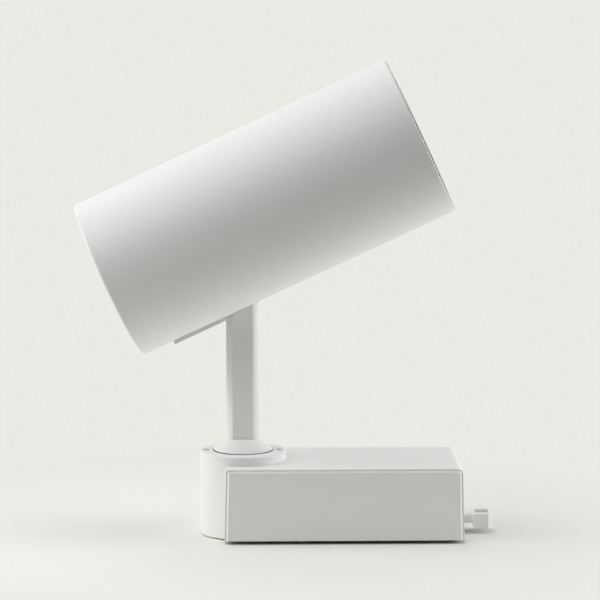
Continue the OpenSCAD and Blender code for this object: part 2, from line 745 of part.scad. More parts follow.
module round_housing() color("white") difference() {
    union() {
        translate([0, 0, round_foot]) tube(round_r, round_in_r, round_top - round_foot);
        translate([0, 0, lid_bottom]) tube(round_in_r + fit, lid_hole_r, round_lid);
        for (side = [-1, 1]) translate([0, side * (rim_r - foot_in), rim_top + 0.1]) {
            cylinder(r = foot_r, h = foot_t);
            reach = round_in_r - rim_r + foot_in + 0.2;
            translate([-foot_r, side > 0 ? 0 : -reach, 0]) cube([2 * foot_r, reach, foot_t]);
        }
    }
    for (side = [-1, 1]) {
        translate([side * rim_screw_r, 0, lid_bottom - over])
            cylinder(r = rim_screw / 2 + 0.1, h = round_lid + 2 * over);
        translate([side * rim_screw_r, 0, round_top - rim_recess]) cylinder(r = head_r(rim_screw) - 0.2, h = 2);
        translate([0, side * (rim_r - foot_in), rim_top]) cylinder(r = housing_screw / 2 + 0.1, h = foot_t + 1);
    }
    // Room for the adapter's rim and for the leads, inside the gear box
    translate([0, -rim_r - 0.2, 0]) cube([2 * round_r, 2 * rim_r + 0.4, rim_top + 0.2]);
    translate([round_in_r / 2, -8, block_z]) cube([round_r, 16, 22]);
}
module rim_screws() color("gainsboro")
for (side = [-1, 1]) translate([side * rim_screw_r, 0, round_top - rim_recess]) {
    cylinder(r = head_r(rim_screw) - 0.35, h = rim_recess - 0.3);
    translate([0, 0, -rim_screw_l]) cylinder(r = shank(rim_screw), h = rim_screw_l + over);
}
module bearing_plate() color("silver") difference() {
    union() {
        translate([0, 0, bearing_z]) cylinder(r = round_in_r - 0.15, h = bearing_t);
        for (side = [-1, 1]) translate([side * rim_screw_r, 0, bearing_top - over])
            cylinder(r = 2.1, h = lid_bottom - bearing_top + over - 0.02);
    }
    translate([0, 0, bearing_z - over]) cylinder(r = spindle_r + bush_wall + fit, h = bearing_t + 2 * over);
    for (side = [-1, 1]) translate([side * rim_screw_r, 0, bearing_z - over])
        cylinder(r = rim_screw / 2, h = lid_bottom - bearing_z + 2 * over);
    translate([stop_at, 0, bearing_z - over]) cylinder(r = 1.52, h = bearing_t);
}
module pan_bush() color("ivory") difference() {
    union() {
        translate([0, 0, bearing_top + 0.01]) cylinder(r = spindle_head_r, h = bush_flange_h - 0.01);
        translate([0, 0, bearing_z]) cylinder(r = spindle_r + bush_wall, h = bearing_t + over);
    }
    translate([0, 0, bearing_z - over]) cylinder(r = spindle_r + running, h = bearing_t + bush_flange_h + 2 * over);
}
module stop_pin() color("gray") translate([stop_at, 0, stop_top - 3]) cylinder(r = 1.5, h = 3 + bearing_t - 1);
module housing_screws() color("silver") for (side = [-1, 1])
    translate([0, side * (rim_r - foot_in), rim_top + foot_t + 0.1]) screw(housing_screw, foot_t + 1.6);

// Front view of the gear box, inset from its outer faces, down to a given height
function end_x(side, z, inset) = side > 0
    ? box_right + (box_top - z) * lean - inset / cos(box_draft)
    : -box_left - (box_top - z) * lean + inset / cos(box_draft);
function corner(side, r, inset) = [
    end_x(side, box_top - inset - r, inset) - side * r / cos(box_draft), box_top - inset - r
];
module box_outline(inset, foot) {
    right = max(box_round_right - inset, 0.3);
    left = max(box_round_left - inset, 0.3);
    polygon(concat(
        [[end_x(-1, foot, inset), foot], [end_x(1, foot, inset), foot]],
        arc(corner(1, right, inset), right, box_draft, 90, 6),
        arc(corner(-1, left, inset), left, 90, 180 - box_draft, 6)
    ));
}
module gear_box_shell() color("white") difference() {
    union() {
        difference() {
            along_y(-box_front + cover_chamfer, box_back) box_outline(0, box_foot);
            along_y(-box_front, box_back - box_wall) box_outline(box_wall, box_foot - over);
        }
        for (x = box_boss_x, side = [-1, 1]) translate([x, side * box_boss_y, plate_top])
            cylinder(r = box_boss_r, h = box_top - box_wall - plate_top + 0.2);
    }
    for (x = box_boss_x, side = [-1, 1]) translate([x, side * box_boss_y, plate_top - over])
        cylinder(r = base_screw / 2, h = 14);
    cylinder(r = round_r + nest, h = 2 * box_top);
    // Slot for the neck of the finger tab
    translate([box_right - 3, -neck_w / 2 - 0.4, neck_z - 0.4]) cube([10, neck_w + 0.8, neck_h + 0.8]);
}
// The cover's chamfer stands proud of the box's front edge
module front_cover() color("white") hull() {
    along_y(-box_front + cover_chamfer, -box_front + cover_t) box_outline(box_wall + cover_seam, box_foot);
    along_y(-box_front, -box_front + 0.1) box_outline(box_wall + cover_seam + cover_chamfer, box_foot);
}
// Spring-steel clips that hold the cover at the base plate and under the box's top
module cover_clips() color("silver") for (x = clip_x) {
    y = -box_front + cover_t + 0.1;
    translate([x, y, plate_top + 0.02]) cube([clip_w, 1, 10]);
    translate([x, y, plate_top + 0.02]) cube([clip_w, 5, 1]);
    translate([x, y, box_top - box_wall - 10.02]) cube([clip_w, 1, 10]);
    translate([x, y, box_top - box_wall - 1.02]) cube([clip_w, 5, 1]);
}
module base_plate() color("silver") difference() {
    x0 = end_x(-1, plate_top, box_wall) + shell_clear;
    x1 = end_x(1, plate_top, box_wall) - shell_clear;
    y0 = -box_front + cover_t + shell_clear;
    y1 = box_back - box_wall - shell_clear;
    translate([x0, y0, box_foot]) cube([x1 - x0, y1 - y0, plate_t]);
    cylinder(r = round_r + nest, h = box_top);
    translate([0, -flange_r - 0.2, 0]) cube([flange_right + 0.2, flange_w + 0.4, box_top]);
    for (x = box_boss_x, side = [-1, 1]) translate([x, side * box_boss_y, 0])
        cylinder(r = base_screw / 2 + 0.1, h = 10);
    for (x = driver_foot_x, side = [-1, 1]) translate([x, side * driver_foot_y, 0])
        cylinder(r = driver_screw / 2 + 0.1, h = 10);
    for (x = adapter_screw_x, side = [-1, 1]) translate([x, side * adapter_screw_y, 0])
        cylinder(r = adapter_screw / 2, h = 10);
}
module base_screws() color("silver") for (x = box_boss_x, side = [-1, 1])
    translate([x, side * box_boss_y, box_foot]) rotate([180, 0, 0]) screw_low(base_screw, plate_t + 9);
// A low-headed screw whose head fits in the gap over the track
module screw_low(size, l) {
    cylinder(r = head_r(size), h = 1.4);
    translate([0, 0, -l]) cylinder(r = shank(size), h = l + over);
}

module adapter_body() color("whitesmoke") difference() {
    union() {
        cylinder(r = flange_r, h = plate_top + over);
        translate([0, -flange_r, 0]) cube([flange_right, flange_w, plate_top + over]);
        translate([0, 0, plate_top + 0.02]) {
            cylinder(r = rim_r, h = adapter_rim_t - 0.02);
            translate([0, -rim_r, 0]) cube([rim_right, 2 * rim_r, adapter_rim_t - 0.02]);
        }
        translate([keel_x[0], -keel_w / 2, keel_split]) cube([keel_x[1] - keel_x[0], keel_w, over - keel_split]);
        for (x = lug_x, side = [-1, 1])
            translate([x - guide_l, side * (slide_wide / 2 + slide_slack + guide_w / 2) - guide_w / 2, rim_top - over])
                cube([2 * guide_l, guide_w, guide_h + over]);
    }
    for (x = lug_x) translate([x, 0, 0]) {
        translate([0, 0, keel_split - over]) cylinder(r = lug_l / 2 + 0.4, h = pocket_top - keel_split + over);
        translate([0, 0, keel_split]) cylinder(r = lug_shaft_r + running, h = rim_top - keel_split + over);
        translate([0, 0, crank_top - crank_t - 0.1]) cylinder(r = crank_disc_r + 0.4, h = 10);
    }
    for (x = finger_x, side = [-1, 1]) finger(x, side, finger_z[(x == finger_x[0]) ? 0 : 1], 0.1);
    for (x = adapter_screw_x, side = [-1, 1]) translate([x, side * adapter_screw_y, plate_top - over])
        cylinder(r = adapter_screw / 2 + 0.1, h = 10);
    for (side = [-1, 1]) translate([0, side * (rim_r - foot_in), plate_top - over])
        cylinder(r = housing_screw / 2, h = 10);
    for (x = keel_screw_x) translate([x, 0, keel_split - over]) cylinder(r = keel_screw / 2, h = 7);
}
module adapter_screws() color("silver") for (x = adapter_screw_x, side = [-1, 1])
    translate([x, side * adapter_screw_y, rim_top]) screw(adapter_screw, rim_top - box_foot - 0.1);
module keel_cap() color("whitesmoke") difference() {
    translate([keel_x[0], -keel_w / 2, -keel_depth])
        cube([keel_x[1] - keel_x[0], keel_w, keel_depth + keel_split - 0.02]);
    for (x = lug_x) translate([x, 0, keel_split - 2.5]) cylinder(r = lug_shaft_r + running, h = 5);
    for (x = keel_screw_x) {
        translate([x, 0, -keel_depth - over]) cylinder(r = keel_screw / 2 + 0.1, h = keel_depth);
        translate([x, 0, -keel_depth - over]) cylinder(r = head_r(keel_screw) + 0.2, h = 2 + over);
    }
}
module keel_screws() color("silver") for (x = keel_screw_x)
    translate([x, 0, -keel_depth + 2]) rotate([180, 0, 0]) screw(keel_screw, keel_depth + keel_split + 3.5);

// One contact strip, up through the keel to its lead, with its tip out of the keel's side
module finger(x, side, z, grow) translate([x - finger_w / 2 - grow, 0, 0]) {
    translate([0, side > 0 ? finger_in_y - grow : -finger_in_y - finger_t - grow, z - grow])
        cube([finger_w + 2 * grow, finger_t + 2 * grow, finger_top - z + grow]);
    translate([0, side > 0 ? finger_in_y - grow : -finger_reach, z - grow])
        cube([finger_w + 2 * grow, finger_reach - finger_in_y + grow, finger_t + 2 * grow]);
}
module contact_fingers() color("peru")
    for (x = finger_x, side = [-1, 1]) finger(x, side, finger_z[(x == finger_x[0]) ? 0 : 1], 0);
module slide_cover() color("lightgray") for (x = lug_x)
    translate([x - guide_l, -slide_wide / 2 - slide_slack - guide_w, rim_top + guide_h + 0.02])
        cube([2 * guide_l, slide_wide + 2 * slide_slack + 2 * guide_w, guide_cover_t]);

// Slide with the finger tab: it runs on the adapter's rim and turns both cranks
module lock_slide() color("white") difference() {
    union() {
        for (x = lug_x) translate([x - slide_pad, -slide_wide / 2, slide_z])
            cube([2 * slide_pad, slide_wide, slide_t]);
        translate([lug_x[0], -slide_narrow / 2, slide_z]) cube([lug_x[1] - lug_x[0], slide_narrow, slide_t]);
        translate([lug_x[1], -neck_w / 2, slide_z]) cube([neck_from - lug_x[1] + over, neck_w, slide_t]);
        translate([neck_from, -neck_w / 2, neck_z]) cube([tab_x - neck_from + over, neck_w, neck_h]);
        finger_tab();
    }
    for (x = lug_x) translate([x + crank_r / sqrt(2) - crank_pin_r - slide_slack, 0.6, slide_z - over])
        cube([2 * crank_pin_r + 2 * slide_slack, crank_r + crank_pin_r + 0.2, slide_t + 2 * over]);
}
module finger_tab() difference() {
    intersection() {
        along_y(-tab_w / 2, tab_w / 2) polygon([
            [tab_x, tab_z + tab_h], [tab_x, tab_z + tab_h / 3], [tab_x + tab_slant, tab_z],
            [tab_x + tab_l, tab_z], [tab_x + tab_l, tab_z + tab_h]
        ]);
        linear_extrude(2 * (tab_z + tab_h)) polygon([
            [tab_x, -tab_w / 2], [tab_x + tab_l - tab_corner, -tab_w / 2], [tab_x + tab_l, tab_corner - tab_w / 2],
            [tab_x + tab_l, tab_w / 2 - tab_corner], [tab_x + tab_l - tab_corner, tab_w / 2], [tab_x, tab_w / 2]
        ]);
    }
    translate([tab_x + tab_wall, tab_side - tab_w / 2, tab_z + tab_floor])
        cube([tab_l - 2 * tab_wall, tab_w - 2 * tab_side, tab_h]);
}
// A lug with its shaft, and the crank on top of it that the slide turns
module lug(x) color("silver") translate([x, 0, 0]) {
    z = (keel_split + pocket_top - lug_t) / 2;
    intersection() {
        translate([-lug_l / 2, -lug_w / 2, z]) cube([lug_l, lug_w, lug_t]);
        translate([0, 0, z - over]) cylinder(r = lug_l / 2, h = lug_t + 2 * over);
    }
    translate([0, 0, keel_split - 2.3]) cylinder(r = lug_shaft_r, h = crank_top - crank_t - 0.02 - keel_split + 2.3);
}
module crank(x) color("ivory") translate([x, 0, crank_top - crank_t]) {
    cylinder(r = crank_disc_r, h = crank_t);
    rotate(45) translate([crank_r, 0, 0]) cylinder(r = crank_pin_r, h = crank_t + slide_t + 0.1, $fn = 32);
}
module front_lug() lug(lug_x[0]);
module rear_lug() lug(lug_x[1]);
module front_crank() crank(lug_x[0]);
module rear_crank() crank(lug_x[1]);

module driver_case() color("whitesmoke") difference() {
    union() {
        difference() {
            translate([driver_x, -driver_w / 2, driver_z]) cube([driver_l, driver_w, driver_h]);
            translate([driver_x + driver_wall, -driver_w / 2 + driver_wall, driver_z + driver_wall])
                cube([driver_l - 2 * driver_wall, driver_w - 2 * driver_wall, driver_h]);
        }
        for (x = driver_foot_x, side = [-1, 1]) {
            translate([x, side * driver_foot_y, plate_top]) cylinder(r = driver_foot_r, h = driver_z - plate_top + 1);
            translate([x, side * (driver_foot_y - 5), driver_z + driver_wall - over])
                cylinder(r = post_r, h = board_lift + over);
        }
    }
    for (x = driver_foot_x, side = [-1, 1]) translate([x, side * driver_foot_y, plate_top - over])
        cylinder(r = driver_screw / 2, h = 9);
    translate([driver_x - over, 0, output_z]) rotate([0, 90, 0])
        cylinder(r = output_r + 0.3, h = driver_wall + 2 * over);
}
module driver_lid() color("whitesmoke") translate([0, 0, driver_z + driver_h]) {
    translate([driver_x, -driver_w / 2, 0.02]) cube([driver_l, driver_w, lid_t - 0.02]);
    inner = driver_wall + 0.15;
    translate([driver_x + inner, -driver_w / 2 + inner, -1.5]) cube([driver_l - 2 * inner, driver_w - 2 * inner, 2]);
}
module driver_screws() color("silver") for (x = driver_foot_x, side = [-1, 1])
    translate([x, side * driver_foot_y, box_foot]) rotate([180, 0, 0]) screw_low(driver_screw, plate_t + 6);
module driver_board() color("darkgreen") translate([driver_x + 3, -driver_w / 2 + 3, board_z + 0.02])
    cube([driver_l - 6, driver_w - 6, board_t - 0.02]);
module transformer() color("darkorange") translate([driver_x + transformer_x, transformer_y, board_top + 0.02]) {
    translate([-bobbin[0] / 2, -bobbin[1] / 2, 0]) cube(bobbin);
    translate([-core[0] / 2, -core[1] / 2, bobbin[2] - over]) cube(core);
    translate([-coil[0] / 2, -coil[1] / 2, bobbin[2] + 1]) cube(coil);
}
module capacitors() color("dimgray") translate([driver_x, 0, board_top + 0.02]) {
    for (i = [0, 1]) translate([capacitor_x, capacitor_y[i], 0]) cylinder(r = capacitor_r[i], h = capacitor_h[i]);
    translate([filter_x, filter_y, 0]) cube(filter_size);
}
module choke() color("peru")
    translate([driver_x + choke_x, choke_y, board_top + 0.02]) tube(choke_out_r, choke_in_r, choke_h);
module terminal_block() color("whitesmoke") {
    translate([block_x, -block_w / 2, block_z]) difference() {
        cube([block_l, block_w, block_h]);
        for (i = [0:4]) translate([block_l / 2, 3 + i * 6, block_h - 3]) cylinder(r = 1.8, h = 4, $fn = 24);
    }
    for (side = [-1, 1]) translate([block_x + block_l / 2, side * (block_w / 2 - block_foot_r), rim_top + 0.02])
        cylinder(r = block_foot_r, h = block_z - rim_top + over);
}
module mains_leads() color("saddlebrown") {
    y = finger_in_y + finger_t / 2;
    under = driver_z - 2.4;
    side_in = block_x + block_l + 0.02;
    for (side = [-1, 1]) {
        wire([
            [finger_x[0], side * y, finger_top + 0.02], [finger_x[0], side * y, under],
            [side_in + wire_turn, side * y, under], [side_in + wire_turn, side * y, block_z + wire_low],
            [side_in, side * y, block_z + wire_low]
        ], wire_r);
        wire([
            [finger_x[1], side * y, finger_top + 0.02], [finger_x[1], side * y, under],
            [finger_x[1], side * (y + wire_y), under], [side_in + wire_turn, side * (y + wire_y), under],
            [side_in + wire_turn, side * (y + wire_y), block_z + wire_low],
            [side_in, side * (y + wire_y), block_z + wire_low]
        ], wire_r);
        wire([
            [side_in, side * live_y, block_z + wire_high], [driver_x - 0.02, side * live_y, block_z + wire_high]
        ], wire_r);
    }
}
module output_lead() color("gainsboro") flat_wire([
    [driver_x + driver_wall + 2, 0, output_z], [driver_x - output_step, 0, output_z],
    [output_low_x, 0, output_low_z], [0, 0, output_low_z], [0, 0, lead_end - 0.1]
], output_r);

head_shell();
front_ring();
glass_gasket();
front_glass();
reflector();
led_chip();
thermal_pad();
led_holder();
holder_screws();
heat_sink();
sink_screws();
slot_liner();
rear_cap();
rear_cap_screws();
tilt_bracket();
bracket_screws();
tilt_pin();
tilt_nut();
head_lead();
arm_bar();
arm_bush();
friction_washers();
swivel_cap();
pan_spindle();
arm_pins();
stop_washer();
spindle_nut();
arm_lead();
round_housing();
rim_screws();
bearing_plate();
pan_bush();
stop_pin();
housing_screws();
gear_box_shell();
front_cover();
cover_clips();
base_plate();
base_screws();
adapter_body();
adapter_screws();
keel_cap();
keel_screws();
contact_fingers();
slide_cover();
driver_case();
driver_lid();
driver_screws();
driver_board();
transformer();
capacitors();
choke();
terminal_block();
mains_leads();
output_lead();
lock_slide();
front_lug();
front_crank();
rear_lug();
rear_crank();
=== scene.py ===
# %% [markdown]
# # A track light, dressed for its photograph
#
# The lamp is a white spot head on a flat arm. The arm stands in a round housing at one end of a gear box,
# and a finger tab at the other end locks the whole light into its track. The imported CAD model gives every
# piece its size and its joints. Here the pieces that show get smooth, softly eased surfaces and materials
# with real texture.
#
# The model arrives as a fixed frame, one object for each part. Nothing in it is moved, so whatever is added
# can be placed straight from the CAD sizes. The box around the frame is measured, and printed again at
# the end.

# %% Load the imported frame
import json
from functools import partial
from math import acos, asin, cos, degrees, pi, radians, sin, tan

import bmesh
import bpy
import numpy as np
from mathutils import Matrix, Vector


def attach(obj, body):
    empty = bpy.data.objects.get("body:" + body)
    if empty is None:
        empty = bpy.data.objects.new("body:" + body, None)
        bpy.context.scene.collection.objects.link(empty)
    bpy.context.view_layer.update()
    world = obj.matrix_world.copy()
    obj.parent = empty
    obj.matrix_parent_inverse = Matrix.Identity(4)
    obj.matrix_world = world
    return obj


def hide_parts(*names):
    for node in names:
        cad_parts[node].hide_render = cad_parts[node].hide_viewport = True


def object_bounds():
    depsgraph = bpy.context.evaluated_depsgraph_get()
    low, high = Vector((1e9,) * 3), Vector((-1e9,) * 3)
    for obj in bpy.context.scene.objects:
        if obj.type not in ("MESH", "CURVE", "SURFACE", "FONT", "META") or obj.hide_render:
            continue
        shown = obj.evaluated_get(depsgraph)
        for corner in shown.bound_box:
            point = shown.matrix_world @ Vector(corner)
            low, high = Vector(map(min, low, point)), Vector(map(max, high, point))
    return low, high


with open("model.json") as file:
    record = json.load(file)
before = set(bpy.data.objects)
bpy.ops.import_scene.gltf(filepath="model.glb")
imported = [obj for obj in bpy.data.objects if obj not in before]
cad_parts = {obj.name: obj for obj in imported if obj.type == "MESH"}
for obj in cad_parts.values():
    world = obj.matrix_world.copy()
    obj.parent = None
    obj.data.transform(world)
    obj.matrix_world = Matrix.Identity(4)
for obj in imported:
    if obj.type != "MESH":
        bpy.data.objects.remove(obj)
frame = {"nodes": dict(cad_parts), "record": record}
cad_low, cad_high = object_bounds()
cad_size = [round(1000 * (b - a), 1) for a, b in zip(cad_low, cad_high)]
print("frame:", len(frame["nodes"]), "nodes, size in mm", cad_size)

# %% [markdown]
# ## The camera
#
# A photograph can be matched by turning a virtual camera until measured edges fall on the pictured ones.
# This one was found that way: a long lens about 1.8 m away, 8 degrees above level and a degree off square.
# A long lens keeps the box's edges nearly parallel, as they are in the picture.

# %% Set the camera
mm = 0.001
CAMERA_PLACE = (-9.96 * mm, -1809.6 * mm, 393.2 * mm)
CAMERA_DIP, CAMERA_TURN = 8.089, -1.358
SENSOR_WIDTH, LENS = 36, 190.85


def in_scene(name, data):
    """A new object in the scene, for a mesh, a lamp or a camera."""
    made = bpy.data.objects.new(name, data)
    bpy.context.scene.collection.objects.link(made)
    return made


camera = in_scene("camera", bpy.data.cameras.new("camera"))
camera.data.sensor_width, camera.data.lens = SENSOR_WIDTH, LENS
camera.data.clip_start, camera.data.clip_end = 0.1, 100
camera.location = CAMERA_PLACE
camera.rotation_euler = (radians(90 - CAMERA_DIP), 0, radians(CAMERA_TURN))
bpy.context.scene.camera = camera
print("camera lens", camera.data.lens, "mm")

# %% [markdown]
# ## Places on the lamp
#
# Two frames carry almost everything. The gear box, housing and arm use the CAD axes as they are. The head
# is turned 25 degrees up about the tilt pin, so its pieces are drawn along their own axis and then placed
# by one matrix. In that frame Z runs along the head to the glass, and X points down to the slot that the
# arm enters.

# %% Name the frames and the shared sizes
PIN_HEIGHT, HEAD_TILT, HEAD_OFFSET = 145.0, 25, 35.0


def raised(height):
    """A move up along Z, in millimetres."""
    return Matrix.Translation((0, 0, height * mm))


def rotated(angle, axis):
    """A turn about an axis, in degrees."""
    return Matrix.Rotation(radians(angle), 4, axis)


STANDING = Matrix.Identity(4)
AT_THE_PIN = raised(PIN_HEIGHT) @ rotated(-HEAD_TILT, "Y")
ALONG_THE_HEAD = AT_THE_PIN @ raised(HEAD_OFFSET) @ rotated(90, "Y")
print("head axis points to", [round(v, 3) for v in ALONG_THE_HEAD.col[2][:3]])

# %% [markdown]
# ## Making shapes
#
# Most of these parts are turned or extruded on a real production line, and the same two moves draw them
# here: an outline spun about an axis, and an outline drawn out through a stack of sections. Real edges are
# never knife sharp. `eased` rounds an outline's corners before it is spun, and a Bevel modifier breaks the
# edges that a cut leaves. A Weighted Normal modifier then keeps the flat faces flat next to those small
# roundings, so that they catch a thin, clean line of light.

# %% Helpers for meshes
def new_piece(name, points, faces, place=STANDING):
    """A closed mesh from points in millimetres, with its place in its mesh and its faces outwards."""
    mesh = bpy.data.meshes.new(name)
    mesh.from_pydata([place @ (Vector(p) * mm) for p in points], [], faces)
    return closed(in_scene(name, mesh))


def closed(piece):
    """Merges doubled points and turns every face outwards."""
    work = bmesh.new()
    work.from_mesh(piece.data)
    bmesh.ops.remove_doubles(work, verts=work.verts, dist=0.0005 * mm)
    bmesh.ops.recalc_face_normals(work, faces=work.faces)
    work.to_mesh(piece.data)
    work.free()
    return piece


def baked(piece):
    """Replaces a piece's mesh by what its modifiers make of it."""
    graph = bpy.context.evaluated_depsgraph_get()
    shown = piece.evaluated_get(graph)
    mesh = bpy.data.meshes.new_from_object(shown, preserve_all_data_layers=True, depsgraph=graph)
    piece.modifiers.clear()
    piece.data = mesh
    return piece


def cut(piece, *cutters, operation="DIFFERENCE"):
    """Cuts a piece with others, or keeps what they share, and removes the cutters."""
    for cutter in cutters:
        boolean = piece.modifiers.new("cut", "BOOLEAN")
        boolean.operation, boolean.object, boolean.solver = operation, cutter, "EXACT"
        baked(piece)
        bpy.data.objects.remove(cutter)
    return piece


def surfaced(piece, ease=0.0, crease=35):
    """Breaks sharp edges by ease millimetres, then shades the piece smooth with its flat faces kept flat."""
    if ease:
        bevel = piece.modifiers.new("ease", "BEVEL")
        bevel.width, bevel.segments = ease * mm, 3
        bevel.limit_method, bevel.angle_limit = "ANGLE", radians(crease)
        bevel.use_clamp_overlap = True
        baked(piece)
    piece.data.shade_smooth()
    piece.data.set_sharp_from_angle(angle=radians(crease))
    even = piece.modifiers.new("even", "WEIGHTED_NORMAL")
    even.keep_sharp, even.mode, even.weight = True, "FACE_AREA_WITH_ANGLE", 60
    return baked(piece)


def eased(outline, radius, steps=5):
    """Rounds the corners of a closed outline by true arcs. A radius is given once, or for each corner."""
    count, out = len(outline), []
    radii = radius if isinstance(radius, list) else [radius] * count
    for i, (corner, r) in enumerate(zip(outline, radii)):
        p, a, b = (np.array(q, float) for q in (corner, outline[i - 1], outline[(i + 1) % count]))
        if r <= 0:
            out.append(tuple(p))
            continue
        to_a, to_b = a - p, b - p
        long_a, long_b = np.linalg.norm(to_a), np.linalg.norm(to_b)
        half = acos(np.dot(to_a, to_b) / (long_a * long_b)) / 2
        reach = min(r / tan(half), 0.95 * long_a, 0.95 * long_b)
        start, end, pull = p + reach * to_a / long_a, p + reach * to_b / long_b, sin(half)
        for t in np.linspace(0, 1, steps + 1):
            parts = ((1 - t) ** 2, 2 * pull * t * (1 - t), t**2)
            out.append(tuple((parts[0] * start + parts[1] * p + parts[2] * end) / sum(parts)))
    return out


def bands(count, pairs):
    """The faces between pairs of rings that have equally many points."""
    faces = []
    for this, following in pairs:
        for j in range(count):
            k = (j + 1) % count
            faces.append((this * count + j, this * count + k, following * count + k, following * count + j))
    return faces


def turned(name, outline, place=STANDING, steps=192):
    """Spins a closed outline of (radius, height) about the place's Z axis."""
    turns = np.linspace(0, 2 * pi, steps, endpoint=False)
    points = [(r * cos(a), r * sin(a), z) for a in turns for r, z in outline]
    faces = bands(len(outline), [(i, (i + 1) % steps) for i in range(steps)])
    return new_piece(name, points, faces, place)


def stacked(name, sections, place=STANDING):
    """Joins closed sections of equally many points into a solid with two flat ends."""
    count = len(sections[0])
    points = [p for section in sections for p in section]
    ends = [tuple(range(count)), tuple(range(len(points) - count, len(points)))]
    return new_piece(name, points, ends + bands(count, [(i, i + 1) for i in range(len(sections) - 1)]), place)


def arc(centre, radius, start, end, steps):
    """Points on a circle, from one angle in degrees to another."""
    angles = np.radians(np.linspace(start, end, steps + 1))
    return [(centre[0] + radius * cos(a), centre[1] + radius * sin(a)) for a in angles]


def across(name, outline, y0, y1, place=STANDING):
    """An outline in X and Z, drawn out along Y."""
    return stacked(name, [[(x, y, z) for x, z in outline] for y in (y0, y1)], place)


def upright(name, outline, z0, z1, place=STANDING):
    """An outline in X and Y, drawn up along Z."""
    return stacked(name, [[(x, y, z) for x, y in outline] for z in (z0, z1)], place)


def block(name, low, high):
    """A plain box, for a cutter or a hidden lug."""
    (x0, y0, z0), (x1, y1, z1) = low, high
    return upright(name, [(x0, y0), (x1, y0), (x1, y1), (x0, y1)], z0, z1)


def rod(name, radius, z0, z1, x=0, place=STANDING, steps=64):
    """A plain round bar along Z, for a cutter or a hidden lug."""
    return upright(name, arc((x, 0), radius, 0, 360, steps)[:-1], z0, z1, place)


def worked(name, work):
    """A piece with the mesh that is being worked on."""
    mesh = bpy.data.meshes.new(name)
    work.to_mesh(mesh)
    work.free()
    return in_scene(name, mesh)


def joined(name, *pieces):
    """Puts several meshes into one piece without cutting them."""
    work = bmesh.new()
    for piece in pieces:
        work.from_mesh(piece.data)
        bpy.data.objects.remove(piece)
    return worked(name, work)


def cad_copy(name, node):
    """A copy of a CAD part with its loose triangles merged into whole faces, ready to be eased."""
    work = bmesh.new()
    work.from_mesh(frame["nodes"][node].data)
    bmesh.ops.remove_doubles(work, verts=work.verts, dist=0.001 * mm)
    bmesh.ops.dissolve_limit(work, angle_limit=radians(0.6), verts=work.verts, edges=work.edges)
    return worked(name, work)


print("mesh helpers ready")

# %% [markdown]
# ## Textures shared by the finishes
#
# Every finish here is built from a few effects, each made once as a node group. *Skin* is the tiny
# orange-peel or spark-eroded texture that coated and moulded parts carry: two sizes of noise that change
# the tone a little and raise the surface by a few thousandths of a millimetre. *Grain* is the same noise
# pulled out along one direction, as an extrusion die or a brush leaves it. Both read Object coordinates, so
# the texture has its real size in metres and stays on the part when it moves.

# %% Build the texture groups
def node(tree, kind, settings=None, **inputs):
    """A node with its settings and inputs. An input is a value, or a socket to link from."""
    made = tree.nodes.new(kind)
    for key, value in (settings or {}).items():
        setattr(made, key, value)
    for key, value in inputs.items():
        numbered = key[0] == "i" and key[1:].isdigit()
        socket = made.inputs[int(key[1:]) if numbered else key.replace("_", " ")]
        if isinstance(value, bpy.types.NodeSocket):
            tree.links.new(value, socket)
        else:
            socket.default_value = value
    return made


def maths(tree, operation, a, b=0.0):
    """One step of arithmetic between node sockets or numbers."""
    return node(tree, "ShaderNodeMath", {"operation": operation}, i0=a, i1=b).outputs[0]


def vector_maths(tree, operation, a, b=(0, 0, 0)):
    """One step of arithmetic between vectors. A length and a dot product give a number."""
    output = "Value" if operation in ("LENGTH", "DOT_PRODUCT") else "Vector"
    return node(tree, "ShaderNodeVectorMath", {"operation": operation}, i0=a, i1=b).outputs[output]


def new_socket(tree, label, kind, in_out="INPUT"):
    """A named input or output of a tree."""
    return tree.interface.new_socket(label, in_out=in_out, socket_type="NodeSocket" + kind)


def named_inputs(tree, inputs):
    """Inputs of a tree with their usual values: whole numbers, numbers and vectors."""
    for label, value in inputs.items():
        kind = {int: "Int", float: "Float", tuple: "Vector"}[type(value)]
        new_socket(tree, label, kind).default_value = value


def texture_group(name, inputs):
    """A node group for a tone and a relief: the group, what it is given, and helpers bound to it."""
    tree = bpy.data.node_groups.new(name, "ShaderNodeTree")
    named_inputs(tree, inputs)
    for label in ("Tone", "Relief"):
        new_socket(tree, label, "Float", "OUTPUT")
    return tree, tree.nodes.new("NodeGroupInput").outputs, partial(node, tree), partial(maths, tree)


def end_group(tree, given, shades, relief):
    """Closes a texture group: a tone of one, give or take the spread, and a noise as relief."""
    spread = maths(tree, "MULTIPLY", maths(tree, "SUBTRACT", shades, 0.5), given["Spread"])
    out = tree.nodes.new("NodeGroupOutput").inputs
    tree.links.new(maths(tree, "ADD", spread, 1.0), out["Tone"])
    tree.links.new(relief, out["Relief"])


FINE_SHARE, BROAD_SHARE, BROAD_SCALE = 0.35, 0.65, 28.0
skin, given, add, calc = texture_group("skin", {"Grain": 0.5, "Spread": 0.02})
where = add("ShaderNodeTexCoord").outputs["Object"]
grain_scale = calc("DIVIDE", 1000.0, given["Grain"])
fine = add("ShaderNodeTexNoise", Vector=where, Scale=grain_scale, Detail=3.0, Roughness=0.55).outputs[0]
broad = add("ShaderNodeTexNoise", Vector=where, Scale=BROAD_SCALE, Detail=2.0).outputs[0]
mottle = calc("ADD", calc("MULTIPLY", fine, FINE_SHARE), calc("MULTIPLY", broad, BROAD_SHARE))
end_group(skin, given, mottle, fine)

